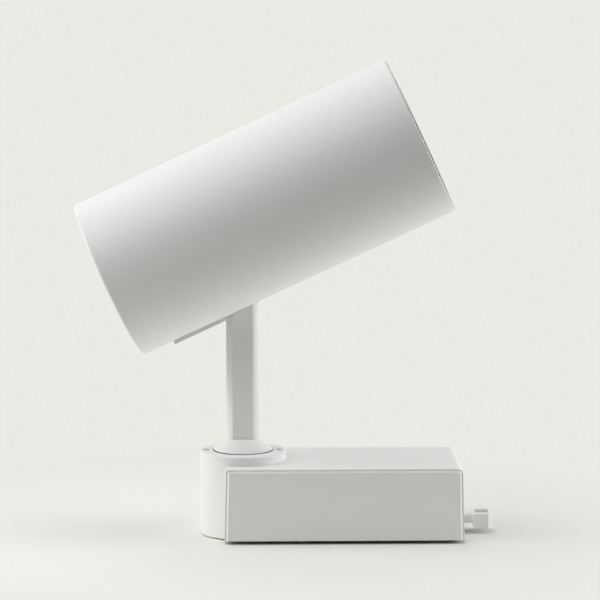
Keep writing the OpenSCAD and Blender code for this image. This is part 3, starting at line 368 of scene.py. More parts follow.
grain, given, add, calc = texture_group("grain", {"Stretch": (60.0, 4000.0, 4000.0), "Spread": 0.08})
where = add("ShaderNodeTexCoord").outputs["Object"]
levelled = add("ShaderNodeMapping", Vector=where, Rotation=(0, radians(HEAD_TILT), 0)).outputs[0]
pulled = vector_maths(grain, "MULTIPLY", levelled, given["Stretch"])
lines = add("ShaderNodeTexNoise", Vector=pulled, Scale=1.0, Detail=4.0, Roughness=0.6).outputs[0]
end_group(grain, given, lines, lines)
print("texture groups:", skin.name, grain.name)

# %% [markdown]
# ## The finishes
#
# A finish is one Principled shader with a texture group wired to its colour, its roughness and a Bump node.
# The powder coat is a dielectric: not metallic, quite rough, and off-white, because a pure white would clip
# under any light. Numbers that are the same all over sit on the shader's own sockets, which is also what
# survives export.

# %% Make the materials
def finish(name, colour, roughness, metallic=0.0, texture="skin", bump=0.02, rough_spread=0.06, **sizes):
    """A material whose texture group moves its colour, roughness and surface a little."""
    material = bpy.data.materials.new(name)
    material.use_nodes = True
    tree = material.node_tree
    shader = tree.nodes["Principled BSDF"]
    shader.inputs["Metallic"].default_value = metallic
    effect = node(tree, "ShaderNodeGroup", {"node_tree": bpy.data.node_groups[texture]}, **sizes)
    tone, relief = effect.outputs["Tone"], effect.outputs["Relief"]
    tint = node(tree, "ShaderNodeVectorMath", {"operation": "SCALE"}, i0=colour, Scale=tone).outputs[0]
    tree.links.new(tint, shader.inputs["Base Color"])
    change = maths(tree, "MULTIPLY", maths(tree, "SUBTRACT", relief, 0.5), rough_spread)
    tree.links.new(maths(tree, "ADD", change, roughness), shader.inputs["Roughness"])
    bumped = node(tree, "ShaderNodeBump", Strength=1.0, Distance=bump * mm, Height=relief).outputs[0]
    tree.links.new(bumped, shader.inputs["Normal"])
    return material


# The pale grey is white plastic darkened to paint the shade that falls in the head's slot.
COAT_WHITE, LINER_PAINTED_SHADE = (0.87, 0.868, 0.86), (0.74, 0.738, 0.727)
# The near-black steel paints the deep shade in the gap under the gear box, in place of its plated steel.
STEEL_GREY, SHADE_BLACK_STEEL = (0.66, 0.67, 0.69), (0.10, 0.10, 0.105)
COPPER_RED, ROLLED, TAPED = (0.78, 0.43, 0.26), (2500.0, 300.0, 2500.0), (300.0, 300.0, 2600.0)
coat = finish("powder_coat", COAT_WHITE, 0.52, bump=0.012, Grain=0.7, Spread=0.02)
plastic = finish("moulded_white", (0.86, 0.857, 0.845), 0.46, bump=0.008, Grain=0.35, Spread=0.02)
# White plastic made pale grey: painted shade for the slot liner.
liner_painted_shade_plastic = finish("moulded_white_painted_shade", LINER_PAINTED_SHADE, 0.46, bump=0.008, Grain=0.35, Spread=0.02)
natural_plastic = finish("natural_nylon", (0.80, 0.78, 0.71), 0.42, bump=0.006, Grain=0.4, Spread=0.03)
dark_plastic = finish("black_moulding", (0.045, 0.045, 0.05), 0.45, bump=0.008, Grain=0.3, Spread=0.1)
aluminium = finish("extruded_aluminium", (0.74, 0.745, 0.75), 0.38, 0.95, "grain", 0.01, 0.2, Spread=0.1)
bright = finish("bright_reflector", (0.88, 0.88, 0.89), 0.12, 1.0, "skin", 0.01, 0.08, Grain=1.6, Spread=0.02)
steel = finish("zinc_plated_steel", STEEL_GREY, 0.32, 0.95, "skin", 0.006, 0.18, Grain=2.5, Spread=0.16)
# A near-black steel that paints the shade under the box onto the base plate and its screws.
shade_painted_steel = finish("steel_darkened_for_shade", SHADE_BLACK_STEEL, 0.55, 0.6, "skin", 0.01, 0.12, Grain=1.2, Spread=0.2)
copper = finish("rolled_copper", COPPER_RED, 0.30, 1.0, "grain", 0.006, 0.15, Spread=0.12, Stretch=ROLLED)
rubber = finish("silicone", (0.20, 0.20, 0.205), 0.62, bump=0.01, Grain=0.5, Spread=0.08)
board = finish("solder_mask", (0.02, 0.17, 0.07), 0.28, bump=0.02, Grain=3.0, Spread=0.5)
winding = finish("taped_winding", (0.78, 0.55, 0.12), 0.34, 0.0, "grain", 0.05, Spread=0.25, Stretch=TAPED)
brown_lead = finish("lead_sleeve", (0.20, 0.085, 0.035), 0.40, bump=0.004, Grain=0.6, Spread=0.05)
print("finishes:", len(bpy.data.materials))

# %% [markdown]
# ## Clear glass and the light source
#
# Glass needs its plain transmission and refraction, and only its roughness varies, as if lightly wiped. The
# LED is a white ceramic square with a round yellow pool of phosphor. One material paints both, by measuring
# how far a point lies from the head's axis. The lamp is off, so the phosphor doesn't glow.

# %% Make the glass and the LED's material
glass = bpy.data.materials.new("clear_glass")
glass.use_nodes = True
tree = glass.node_tree
glass_shader = tree.nodes["Principled BSDF"]
clear = {"Base Color": (0.97, 0.99, 0.985, 1), "IOR": 1.5, "Transmission Weight": 1.0, "Metallic": 0.0}
for socket, value in clear.items():
    glass_shader.inputs[socket].default_value = value
wiped = node(tree, "ShaderNodeGroup", {"node_tree": skin}, Grain=6.0)
smear = maths(tree, "MULTIPLY", wiped.outputs["Relief"], 0.04)
tree.links.new(smear, glass_shader.inputs["Roughness"])

PHOSPHOR_RADIUS, PHOSPHOR = 7.25 * mm, (0.86, 0.62, 0.10, 1)
led = finish("led_phosphor", (0.83, 0.83, 0.80), 0.35, bump=0.01, Grain=0.4, Spread=0.04)
tree = led.node_tree
axis_point = ALONG_THE_HEAD.to_translation()
head_axis = ALONG_THE_HEAD.col[2].to_3d()
where = node(tree, "ShaderNodeTexCoord").outputs["Object"]
from_point = vector_maths(tree, "SUBTRACT", where, axis_point)
distance = vector_maths(tree, "LENGTH", vector_maths(tree, "CROSS_PRODUCT", from_point, head_axis))
inside = maths(tree, "LESS_THAN", distance, PHOSPHOR_RADIUS)
colour = tree.nodes["Principled BSDF"].inputs["Base Color"]
ceramic = colour.links[0].from_socket
mixed = node(tree, "ShaderNodeMix", {"data_type": "RGBA"}, i0=inside, i6=ceramic, i7=PHOSPHOR)
tree.links.new(mixed.outputs[2], colour)
print("glass and phosphor ready")

# %% [markdown]
# ## Dressing a piece
#
# Each new piece says three things: the body it rides on, the record's finish it stands for, and the CAD
# parts it replaces. Its material follows from that finish, unless it names another. CAD parts that are
# right as they are stay, and only get a material, by their name or by the finish that the record gives
# them.

# %% Helper that dresses a piece, and the CAD parts that stay
def coated(piece, material):
    """Gives the whole of a piece one material."""
    piece.data.materials.clear()
    piece.data.materials.append(material)
    for polygon in piece.data.polygons:
        polygon.material_index = 0


BY_SLOT = {
    "white_coat": coat,
    "white_plastic": plastic,
    "bare_aluminium": aluminium,
    "reflector_aluminium": bright,
    "plated_steel": steel,
    "contact_copper": copper,
    "clear_glass": glass,
    "grey_rubber": rubber,
    "led_phosphor": led,
    "green_board": board,
    "varnished_winding": winding,
    "dark_plastic": dark_plastic,
}
NYLON_PARTS = ("pan_bush", "front_crank", "rear_crank", "driver_case", "driver_lid")
BY_NODE = dict.fromkeys(NYLON_PARTS, natural_plastic)
# The base plate and its screws take the near-black steel, which paints the shade in the gap under the box.
BY_NODE.update({"base_plate": shade_painted_steel, "base_screws": shade_painted_steel, "mains_leads": brown_lead})


def dress(piece, body, slot, *stands_for, material=None):
    """Gives a finished piece its material, from its record slot unless another is named, puts it on its body
    and hides the CAD parts it stands for.
    """
    coated(piece, material or BY_SLOT[slot])
    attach(piece, body)
    if stands_for:
        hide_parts(*stands_for)
    print(f"{piece.name}: {len(piece.data.polygons)} faces on {body}")


for part in frame["record"]["subparts"]:
    coated(frame["nodes"][part["node"]], BY_NODE.get(part["node"], BY_SLOT[part["material_slot"]]))

# %% [markdown]
# ## The head tube
#
# The head is one length of aluminium tube, turned at both rims. Its outline is spun about the axis: a
# generous rounding at the rear rim, a fine one at the front, and a ledge inside that carries the reflector.
# The arm swings in a slot in the underside, so the outline of that swing is cut out across the tube. Bosses
# and lugs inside take the screws of the rear cap and the heat sink.

# %% Turn the head tube and cut its slot
HEAD_REAR, HEAD_FRONT = -68, 127.8
REAR_RADIUS, FRONT_RADIUS, BORE_RADIUS = 47.2, 47.7, 45.5
LEDGE_RADIUS, LEDGE_REAR, LEDGE_SEAT = 43.2, 115.8, 119.8
REAR_ROUND, FRONT_ROUND, BORE_EASE = 1.6, 0.7, 0.4
REAR_WALL = REAR_RADIUS - BORE_RADIUS

tube_outline = eased(
    [
        (BORE_RADIUS, HEAD_REAR),
        (REAR_RADIUS, HEAD_REAR),
        (FRONT_RADIUS, HEAD_FRONT),
        (BORE_RADIUS, HEAD_FRONT),
        (BORE_RADIUS, LEDGE_SEAT),
        (LEDGE_RADIUS, LEDGE_SEAT),
        (LEDGE_RADIUS, LEDGE_REAR),
        (BORE_RADIUS, LEDGE_REAR),
    ],
    [REAR_WALL - REAR_ROUND, REAR_ROUND, FRONT_ROUND, BORE_EASE, 0, BORE_EASE, BORE_EASE, 0],
    steps=8,
)
head_tube = turned("head_tube", tube_outline, ALONG_THE_HEAD, steps=256)


def arm_swing(radius, reach=60, high=60):
    """The outline that the arm sweeps as the head tilts from level to its highest."""
    turn = radians(high)
    side = (-radius * cos(turn), radius * sin(turn))
    far_side = (side[0] - reach * sin(turn), side[1] - reach * cos(turn))
    return [far_side] + arc((0, 0), radius, 180 - high, 0, 24) + [(radius, -reach)]


SLOT_HALF_WIDTH, SLOT_RADIUS = 6.4, 12.0
cut(head_tube, across("swing", arm_swing(SLOT_RADIUS), -SLOT_HALF_WIDTH, SLOT_HALF_WIDTH, AT_THE_PIN))
surfaced(head_tube, 0.25)

CAP_BOSSES, BOSS_CIRCLE = (60, 180, 300), 41.5
CAP_BOSS = {"radius": 3.5, "z0": -63.5, "z1": -50.5, "x": BOSS_CIRCLE}
SINK_LUGS, SINK_LUG = (45, 135, 225, 315), {"radius": 4.5, "z0": 40, "z1": 50, "x": 40.5}
inner_lugs = []
for angles, sizes in ((CAP_BOSSES, CAP_BOSS), (SINK_LUGS, SINK_LUG)):
    for angle in angles:
        inner_lugs.append(rod("lug", place=ALONG_THE_HEAD @ rotated(angle, "Z"), **sizes))
head_tube = joined("head_tube", head_tube, surfaced(joined("lugs", *inner_lugs)))
dress(surfaced(head_tube), "head", "white_coat", "head_shell")

# %% [markdown]
# ## The front ring
#
# The ring that holds the glass is a thin turned band. It stands a little out of the tube, and a groove of
# 0.2 mm parts the two, which is the fine dark line near the front rim in the photograph.

# %% Turn the front ring
RING_OUTER, RING_INNER, RING_SPIGOT = 47.1, 43.3, 45.45
RING_START, RING_GROOVE, RING_STANDS = HEAD_FRONT - 2.5, 0.2, 1.0
ring_outline = eased(
    [
        (RING_INNER, RING_START),
        (RING_SPIGOT, RING_START),
        (RING_SPIGOT, HEAD_FRONT + RING_GROOVE),
        (RING_OUTER, HEAD_FRONT + RING_GROOVE),
        (RING_OUTER, HEAD_FRONT + RING_STANDS),
        (RING_INNER, HEAD_FRONT + RING_STANDS),
    ],
    [0.1, 0.1, 0, 0.1, 0.3, 0.4],
)
front_band = surfaced(turned("front_band", ring_outline, ALONG_THE_HEAD, steps=256))
dress(front_band, "head", "white_coat", "front_ring")

# %% [markdown]
# ## The faceted reflector
#
# Behind the glass sits a spun reflector, a bowl that follows a parabola and is pressed into flat facets
# that even out the beam. Its shape is a rule, so Geometry Nodes draw it: a grid is bent round, and each
# point's distance from the axis and height come from the parabola's formula. The facets stay flat shaded,
# and Solidify gives the bowl its wall on the outside.

# %% Grow the reflector with Geometry Nodes
def shape(tree, kind, settings=None, **inputs):
    """The first output of a new Geometry Nodes node."""
    return node(tree, "GeometryNode" + kind, settings, **inputs).outputs[0]


def geometry_tree(name, sizes, takes_geometry=False):
    """A Geometry Nodes tree with named inputs: the tree, what it is given, and helpers bound to it."""
    tree = bpy.data.node_groups.new(name, "GeometryNodeTree")
    if takes_geometry:
        new_socket(tree, "Geometry", "Geometry")
    named_inputs(tree, sizes)
    new_socket(tree, "Material", "Material")
    new_socket(tree, "Geometry", "Geometry", "OUTPUT")
    return tree, tree.nodes.new("NodeGroupInput").outputs, partial(shape, tree), partial(maths, tree)


def end_tree(tree, given, geometry):
    """Closes a tree: instances become real, and the material is set."""
    real = shape(tree, "RealizeInstances", Geometry=geometry)
    done = shape(tree, "SetMaterial", Geometry=real, Material=given["Material"])
    tree.links.new(done, tree.nodes.new("NodeGroupOutput").inputs[0])


def grown(name, tree, material, sizes=None, points=((0, 0, 0),), place=STANDING):
    """Runs a tree on loose points, bakes the result and moves it to its place."""
    mesh = bpy.data.meshes.new(name)
    mesh.from_pydata([Vector(p) * mm for p in points], [], [])
    piece = in_scene(name, mesh)
    modifier = piece.modifiers.new(name, "NODES")
    modifier.node_group = tree
    values = (sizes or {}) | {"Material": material}
    for item in tree.interface.items_tree:
        if item.in_out == "INPUT" and item.name in values:
            modifier[item.identifier] = values[item.name]
    baked(piece).data.transform(place)
    return closed(piece)


def vector(tree, x=0.0, y=0.0, z=0.0):
    """Three numbers or sockets as one vector."""
    return node(tree, "ShaderNodeCombineXYZ", X=x, Y=y, Z=z).outputs[0]


REFLECTOR_START, MOUTH_RADIUS, BOWL_WALL = 61.3, 41.0, 0.85
bowl_sizes = {"Throat": 8.65 * mm, "Mouth": MOUTH_RADIUS * mm, "Depth": 58.5 * mm, "Facets": 40, "Rows": 11}
bowl, given, add, calc = geometry_tree("faceted_bowl", bowl_sizes)
around, along = calc("ADD", given["Facets"], 1), calc("ADD", given["Rows"], 1)
sheet = add("MeshGrid", Size_X=1.0, Size_Y=1.0, Vertices_X=around, Vertices_Y=along)
spot = node(bowl, "ShaderNodeSeparateXYZ", Vector=add("InputPosition"))
angle = calc("MULTIPLY", calc("ADD", spot.outputs[0], 0.5), 2 * pi)
share = calc("ADD", spot.outputs[1], 0.5)
width = calc("SUBTRACT", given["Mouth"], given["Throat"])
radius = calc("ADD", given["Throat"], calc("MULTIPLY", share, width))
throat_square = calc("POWER", given["Throat"], 2.0)
rise = calc("SUBTRACT", calc("POWER", radius, 2.0), throat_square)
full_rise = calc("SUBTRACT", calc("POWER", given["Mouth"], 2.0), throat_square)
height = calc("MULTIPLY", given["Depth"], calc("DIVIDE", rise, full_rise))
bend = [calc("MULTIPLY", radius, calc(wave, angle)) for wave in ("COSINE", "SINE")]
bent = add("SetPosition", Geometry=sheet, Position=vector(bowl, *bend, height))
seamed = add("MergeByDistance", Geometry=bent, Distance=0.001 * mm)
end_tree(bowl, given, seamed)

facets = grown("facets", bowl, bright, place=ALONG_THE_HEAD @ raised(REFLECTOR_START))
inside_bowl = ALONG_THE_HEAD @ Vector((0, 0, 90 * mm))
inwards = sum((inside_bowl - face.center).dot(face.normal) > 0 for face in facets.data.polygons)
if inwards < len(facets.data.polygons) / 2:
    facets.data.flip_normals()
wall = facets.modifiers.new("wall", "SOLIDIFY")
wall.thickness, wall.offset = BOWL_WALL * mm, -1
closed(baked(facets)).data.shade_flat()
RIM_RADIUS, RIM_TOP = 45.4, LEDGE_SEAT + 1.5
rim_below, rim_above = (RIM_RADIUS, LEDGE_SEAT), (RIM_RADIUS, RIM_TOP)
rim_outline = [(MOUTH_RADIUS, LEDGE_SEAT), rim_below, rim_above, (MOUTH_RADIUS, RIM_TOP)]
rim = surfaced(turned("rim", eased(rim_outline, 0.25), ALONG_THE_HEAD))
dress(joined("faceted_reflector", facets, rim), "head", "reflector_aluminium", "reflector")

# %% [markdown]
# ## The vented rear cap
#
# Warm air leaves the fins through slots in the rear cap. The slots repeat by a rule, so a tree makes them:
# a line of points, a slot with round ends on each, and one Boolean that cuts them all from the disc. The
# slot's own shape is a rectangle with its corners filleted, swept along a short line.

# %% Grow the rear cap
def lifted(tree, solid, height):
    """A tree's solid moved up along Z."""
    return shape(tree, "Transform", Geometry=solid, Translation=vector(tree, z=height))


def gathered(tree, *solids):
    """A tree's solids as one."""
    gathering = node(tree, "GeometryNodeJoinGeometry")
    for solid in solids:
        tree.links.new(solid, gathering.inputs[0])
    return gathering.outputs[0]


EXACT_CUT = {"operation": "DIFFERENCE", "solver": "EXACT"}
cap_sizes = {
    "Radius": 45.35 * mm,
    "Thickness": 2.0 * mm,
    "Slots": 9,
    "Pitch": 5.6 * mm,
    "Slot length": 18.0 * mm,
    "Slot width": 2.4 * mm,
    "Column": 13.0 * mm,
    "Hole circle": BOSS_CIRCLE * mm,
    "Hole radius": 1.6 * mm,
}
SLOT_CUT_FROM, SLOT_CUT_TO, HOLE_CUT = -1 * mm, 3.5 * mm, 12 * mm
NEAR_HALF = 0.499  # the two fillets of a slot's end don't quite meet
cap_tree, given, add, calc = geometry_tree("vented_disc", cap_sizes)
disc = add("MeshCylinder", Vertices=256, Radius=given["Radius"], Depth=given["Thickness"])
disc = lifted(cap_tree, disc, calc("DIVIDE", given["Thickness"], 2.0))
slot_length, slot_width = given["Slot length"], given["Slot width"]
slot_line = add("CurvePrimitiveQuadrilateral", Width=slot_length, Height=slot_width)
slot_radius = calc("MULTIPLY", slot_width, NEAR_HALF)
slot_line = add("FilletCurve", {"mode": "POLY"}, Curve=slot_line, Count=8, Radius=slot_radius)
path = add("CurvePrimitiveLine", Start=(0, 0, SLOT_CUT_FROM), End=(0, 0, SLOT_CUT_TO))
slot_bar = add("CurveToMesh", Curve=path, Fill_Caps=True, i1=slot_line)
gaps = calc("MULTIPLY", calc("SUBTRACT", given["Slots"], 1), given["Pitch"])
row_start = calc("MULTIPLY", gaps, -0.5)
step = vector(cap_tree, y=given["Pitch"])
cutters = []
for sign in (-1, 1):
    start = vector(cap_tree, calc("MULTIPLY", given["Column"], sign), row_start)
    line = add("MeshLine", Count=given["Slots"], Start_Location=start, Offset=step)
    cutters.append(add("InstanceOnPoints", Points=line, Instance=slot_bar))
hole = add("MeshCylinder", Vertices=32, Radius=given["Hole radius"], Depth=HOLE_CUT)
circle = add("MeshCircle", Vertices=len(CAP_BOSSES), Radius=given["Hole circle"])
first_boss = (0, 0, radians(CAP_BOSSES[0]))
circle = add("Transform", Geometry=circle, Rotation=first_boss)
cutters.append(add("InstanceOnPoints", Points=circle, Instance=hole))
cutters = add("RealizeInstances", Geometry=gathered(cap_tree, *cutters))
vented = add("MeshBoolean", EXACT_CUT, i0=disc, i1=cutters)
end_tree(cap_tree, given, vented)

CAP_BACK = -65.5
cap_place = ALONG_THE_HEAD @ raised(CAP_BACK)
vented_cap = surfaced(grown("vented_cap", cap_tree, coat, place=cap_place), 0.2)
dress(vented_cap, "head", "white_coat", "rear_cap")

# %% [markdown]
# ## Screws with real heads
#
# A screw shows as a crowned disc with a cross in it. One tree makes the head: a cylinder whose top is
# raised by a formula, two crossed bars cut out of it, and a shank below. It is placed on every point that
# it is given, so all the screws of one set come out of one call.

# %% Grow the screws
screw_sizes = {
    "Head radius": 2.76 * mm,
    "Head height": 1.8 * mm,
    "Crown": 0.35 * mm,
    "Shank radius": 1.45 * mm,
    "Shank length": 11.0 * mm,
}
CROSS_LENGTH, CROSS_WIDTH = 1.15, 0.24
SHANK_DROP = -0.4999  # a hair under half: the shank's end lies just inside the head
screw_tree, given, add, calc = geometry_tree("cross_head_screws", screw_sizes, takes_geometry=True)
head_radius, head_height, crown = given["Head radius"], given["Head height"], given["Crown"]
side_height = calc("SUBTRACT", head_height, crown)
rings = {"Vertices": 40, "Side_Segments": 1, "Fill_Segments": 5}
drum = add("MeshCylinder", Radius=head_radius, Depth=side_height, **rings)
drum = lifted(screw_tree, drum, calc("DIVIDE", side_height, 2.0))
at = node(screw_tree, "ShaderNodeSeparateXYZ", Vector=add("InputPosition"))
from_axis = calc("SQRT", calc("ADD", calc("POWER", at.outputs[0], 2.0), calc("POWER", at.outputs[1], 2.0)))
fall = calc("POWER", calc("DIVIDE", from_axis, head_radius), 4.0)
dome = vector(screw_tree, z=calc("MULTIPLY", calc("SUBTRACT", 1.0, fall), crown))
on_top = calc("GREATER_THAN", at.outputs[2], calc("MULTIPLY", side_height, 0.9))
crowned = add("SetPosition", Geometry=drum, Selection=on_top, Offset=dome)
bar_sizes = [calc("MULTIPLY", head_radius, share) for share in (CROSS_LENGTH, CROSS_WIDTH)]
bars = []
for x, y in (bar_sizes, bar_sizes[::-1]):
    bar = add("MeshCube", Size=vector(screw_tree, x, y, head_height))
    bars.append(lifted(screw_tree, bar, head_height))
bars = gathered(screw_tree, *bars)
crossed = add("MeshBoolean", EXACT_CUT, i0=crowned, i1=bars, Self_Intersection=True)
shank_radius, shank_length = given["Shank radius"], given["Shank length"]
shank = add("MeshCylinder", Vertices=24, Radius=shank_radius, Depth=shank_length)
shank = lifted(screw_tree, shank, calc("MULTIPLY", shank_length, SHANK_DROP))
whole = gathered(screw_tree, crossed, shank)
placed = add("InstanceOnPoints", Points=given["Geometry"], Instance=whole)
end_tree(screw_tree, given, placed)

HEAD_PER_SIZE, HEIGHT_PER_SIZE, THREAD_PLAY = 0.92, 0.6, 0.05


def screws(name, nominal, points, length, place=STANDING, **sizes):
    """A set of cross-head screws with their heads' undersides on the points."""
    usual = {
        "head_radius": nominal * HEAD_PER_SIZE,
        "head_height": nominal * HEIGHT_PER_SIZE,
        "shank_radius": nominal / 2 - THREAD_PLAY,
        "shank_length": length,
    }
    values = {key.replace("_", " ").capitalize(): value * mm for key, value in (usual | sizes).items()}
    return surfaced(grown(name, screw_tree, steel, values, points, place), crease=40)


CAP_SCREW, CAP_SCREW_LENGTH = 3, 11
turns = [radians(angle) for angle in CAP_BOSSES]
cap_circle = [(BOSS_CIRCLE * cos(a), -BOSS_CIRCLE * sin(a), 0) for a in turns]
cap_screws = screws("cap_screws", CAP_SCREW, cap_circle, CAP_SCREW_LENGTH, cap_place @ rotated(180, "X"))
dress(cap_screws, "head", "plated_steel", "rear_cap_screws")

# %% [markdown]
# ## The slot's liner
#
# A moulding of white plastic lines the slot in the head and carries two low rails under the tube. Its
# colour is a pale grey, which paints the shade that falls in the slot. Its shape comes straight from the CAD
# part: a copy with its triangles merged back into whole faces, then its edges broken.

# %% Ease the slot liner
liner = surfaced(cad_copy("liner", "slot_liner"), 0.2)
# The liner is white plastic, and its grey paints the shade of the slot.
dress(liner, "head", "white_plastic", "slot_liner", material=liner_painted_shade_plastic)

# %% [markdown]
# ## The arm
#
# The arm is an extruded flat bar. Its sides bulge: they meet the flat faces at an angle, which draws the
# arm's two crisp lines, and end in a narrow rounded tip. The section is drawn up to the tilt pin, and its
# top is rounded about the pin by keeping only what a second outline shares with it. A bush hole and the
# lead's channel are drilled through.

# %% Draw the arm
ARM_WIDTH, ARM_THICKNESS, EDGE_TILT, TIP_TILT, TIP_RADIUS = 19.2, 8.0, 26, 62, 0.8
ARM_FOOT, TOP_REACH, PAST_ARM = 47.2, 12, 6
BUSH_HOLE, CHANNEL_RADIUS, CHANNEL_X = 4.02, 1.6, -6.3


def arm_section(grow=0.0):
    """The arm's section. Tilts are angles between a surface and the flat face."""
    edge, tip = radians(EDGE_TILT), radians(TIP_TILT)
    tip_x = ARM_WIDTH / 2 + grow - TIP_RADIUS
    bulge = (ARM_THICKNESS / 2 + grow - TIP_RADIUS * cos(tip)) / (cos(edge) - cos(tip))
    x, y = tip_x - (bulge - TIP_RADIUS) * sin(tip), -(bulge - TIP_RADIUS) * cos(tip)
    upper = arc((x, y), bulge, 90 - EDGE_TILT, 90 - TIP_TILT, 12)
    tip_arc = arc((tip_x, 0), TIP_RADIUS, 90 - TIP_TILT, TIP_TILT - 90, 8)
    side = upper + tip_arc[1:-1] + [(p, -q) for p, q in reversed(upper)]
    return side + [(-p, q) for p, q in reversed(side)]


bar = upright("arm", arm_section(), ARM_FOOT, PIN_HEIGHT + TOP_REACH)
sides = [(side * TOP_REACH, z) for side, z in ((-1, ARM_FOOT - 1), (1, ARM_FOOT - 1), (1, PIN_HEIGHT))]
round_top = sides + arc((0, PIN_HEIGHT), ARM_WIDTH / 2, 0, 180, 40) + [(-TOP_REACH, PIN_HEIGHT)]
cut(bar, across("round_top", round_top, -PAST_ARM, PAST_ARM), operation="INTERSECT")
across_pin = raised(PIN_HEIGHT) @ rotated(90, "X")
channel = rod("channel", CHANNEL_RADIUS, ARM_FOOT - 1, PIN_HEIGHT + 14, x=CHANNEL_X, steps=24)
cut(bar, rod("bush_hole", BUSH_HOLE, -PAST_ARM, PAST_ARM, place=across_pin), channel)
dress(surfaced(bar, 0.2, crease=20), "arm", "white_coat", "arm_bar")

# %% [markdown]
# ## The swivel cap
#
# Where the arm enters the housing, a shallow dome covers the pan joint and turns with the arm. It is a thin
# spherical shell, spun from two arcs, with its crown cut flat and the arm's section cut through it. The
# flat crown is what makes the arm's face end in a straight line.

# %% Turn the swivel cap
DOME_RADIUS, DOME_HEIGHT, DOME_FOOT, DOME_WALL, DOME_FLAT, ARM_PLAY = 16.9, 7.0, 49.1, 1.2, 0.8, 0.1
sphere = (DOME_RADIUS**2 + DOME_HEIGHT**2) / (2 * DOME_HEIGHT)
full_top = DOME_FOOT + DOME_HEIGHT
sphere_height, dome_top = full_top - sphere, full_top - DOME_FLAT
edge_angle = degrees(acos(DOME_RADIUS / sphere))
flat_angle = degrees(asin((dome_top - sphere_height) / sphere))
inner_sphere = sphere - DOME_WALL
inner_angle = degrees(asin((DOME_FOOT - sphere_height) / inner_sphere))
outer_arc = arc((0, sphere_height), sphere, edge_angle + 1.2, flat_angle, 28) + [(0, dome_top)]
rim_ease = [(DOME_RADIUS - 0.02, DOME_FOOT), (DOME_RADIUS, DOME_FOOT + 0.12)]
rim_ease.append((DOME_RADIUS - 0.08, DOME_FOOT + 0.3))
inner_arc = arc((0, sphere_height), inner_sphere, 90, inner_angle, 20)
dome_shell = turned("dome", rim_ease + outer_arc + inner_arc)
cut(dome_shell, upright("arm_way", arm_section(ARM_PLAY), DOME_FOOT - 1, full_top + 2))
dress(surfaced(dome_shell, 0.12), "arm", "white_coat", "swivel_cap")

# %% [markdown]
# ## The round housing
#
# The housing is a turned cup, upside down, with the dome in the hole of its top. Two small screws sit in
# round recesses beside the dome. Below, a notch clears the track adapter and a window lets the leads
# through from the gear box.

# %% Turn the round housing
HOUSING_RADIUS, HOUSING_BORE, LID_HOLE = 25.0, 23.0, 17.2
HOUSING_FOOT, LID_BOTTOM, HOUSING_TOP = 0.6, 45.8, 48.8
housing_outline = eased(
    [
        (HOUSING_BORE, HOUSING_FOOT),
        (HOUSING_RADIUS, HOUSING_FOOT),
        (HOUSING_RADIUS, HOUSING_TOP),
        (LID_HOLE, HOUSING_TOP),
        (LID_HOLE, LID_BOTTOM),
        (HOUSING_BORE, LID_BOTTOM),
    ],
    [0.2, 0.5, 1.1, 0.4, 0.2, 0],
    steps=7,
)
housing = turned("housing", housing_outline, steps=224)
RIM_SCREW, RIM_SCREW_LENGTH, RIM_SCREW_X = 2.5, 7, 20.8
RECESS_DEPTH, RECESS_RADIUS, HOLE_RADIUS = 1.3, 2.1, 1.35
ADAPTER_WAY = (0, -20.2, -1), (50, 20.2, 5.8)
LEAD_WINDOW = (11.5, -8, 12), (36.5, 8, 34)
FOOT_INNER, FOOT_OUTER, FOOT_WIDTH, FOOT_LOW, FOOT_HIGH = 18, 23.1, 6, 5.7, 8.7
for side in (-1, 1):
    x = side * RIM_SCREW_X
    cut(housing, rod("recess", RECESS_RADIUS, HOUSING_TOP - RECESS_DEPTH, HOUSING_TOP + 1, x=x, steps=48))
    cut(housing, rod("hole", HOLE_RADIUS, LID_BOTTOM - 1, HOUSING_TOP, x=x, steps=32))
cut(housing, block("adapter_way", *ADAPTER_WAY), block("lead_window", *LEAD_WINDOW))
surfaced(housing, 0.15)
feet = []
for y0, y1 in ((-FOOT_OUTER, -FOOT_INNER), (FOOT_INNER, FOOT_OUTER)):
    feet.append(block("foot", (-FOOT_WIDTH / 2, y0, FOOT_LOW), (FOOT_WIDTH / 2, y1, FOOT_HIGH)))
housing = joined("housing", housing, surfaced(joined("feet", *feet), 0.2))
dress(surfaced(housing), "gear_box", "white_coat", "round_housing")

rim_points = [(-RIM_SCREW_X, 0, 0), (RIM_SCREW_X, 0, 0)]
rim_place = raised(HOUSING_TOP - RECESS_DEPTH)
flat_head = {"head_radius": 1.95, "head_height": 1.0, "crown": 0.2}
small_screws = screws("small_screws", RIM_SCREW, rim_points, RIM_SCREW_LENGTH, rim_place, **flat_head)
dress(small_screws, "gear_box", "plated_steel", "rim_screws")

# %% [markdown]
# ## The gear box
#
# The box is a shallow casting with ends that lean a degree and a half, so that it leaves its mould, and a
# larger rounding along its right top edge than along its left. It is drawn as a stack of sections from
# front to back. The last sections shrink along a quarter circle, which rounds the rear edges. The inside is
# cut away, and so are the seat of the round housing and the slot of the finger tab. A cover closes the
# front with a thin seam around it. Its chamfer stands proud of the box, so that it catches the light from
# every side.

# %% Draw the gear box and its cover
BOX_LEFT, BOX_RIGHT, BOX_FRONT, BOX_BACK, BOX_TOP, BOX_FOOT = 10.0, 125.1, 35.2, 34.4, 43.4, 2.1
LEAN_ANGLE = 1.4
BOX_LEAN = tan(radians(LEAN_ANGLE))
ROUND_RIGHT, ROUND_LEFT, ROUND_BACK, ROUND_FRONT, BOX_WALL = 3.5, 1.2, 1.0, 0.2, 0.8
COVER_SEAM, COVER_CHAMFER, COVER_DEPTH = 0.1, 1.0, 2
SEAT_RADIUS, WAY_WIDTH, WAY_LOW, WAY_HIGH = 25.15, 10.8, 5.4, 11.4


def end_x(side, z, inset):
    """Where an end wall's face is at a height, moved in by an inset."""
    edge = BOX_RIGHT if side > 0 else BOX_LEFT
    return side * (edge + (BOX_TOP - z) * BOX_LEAN - inset)


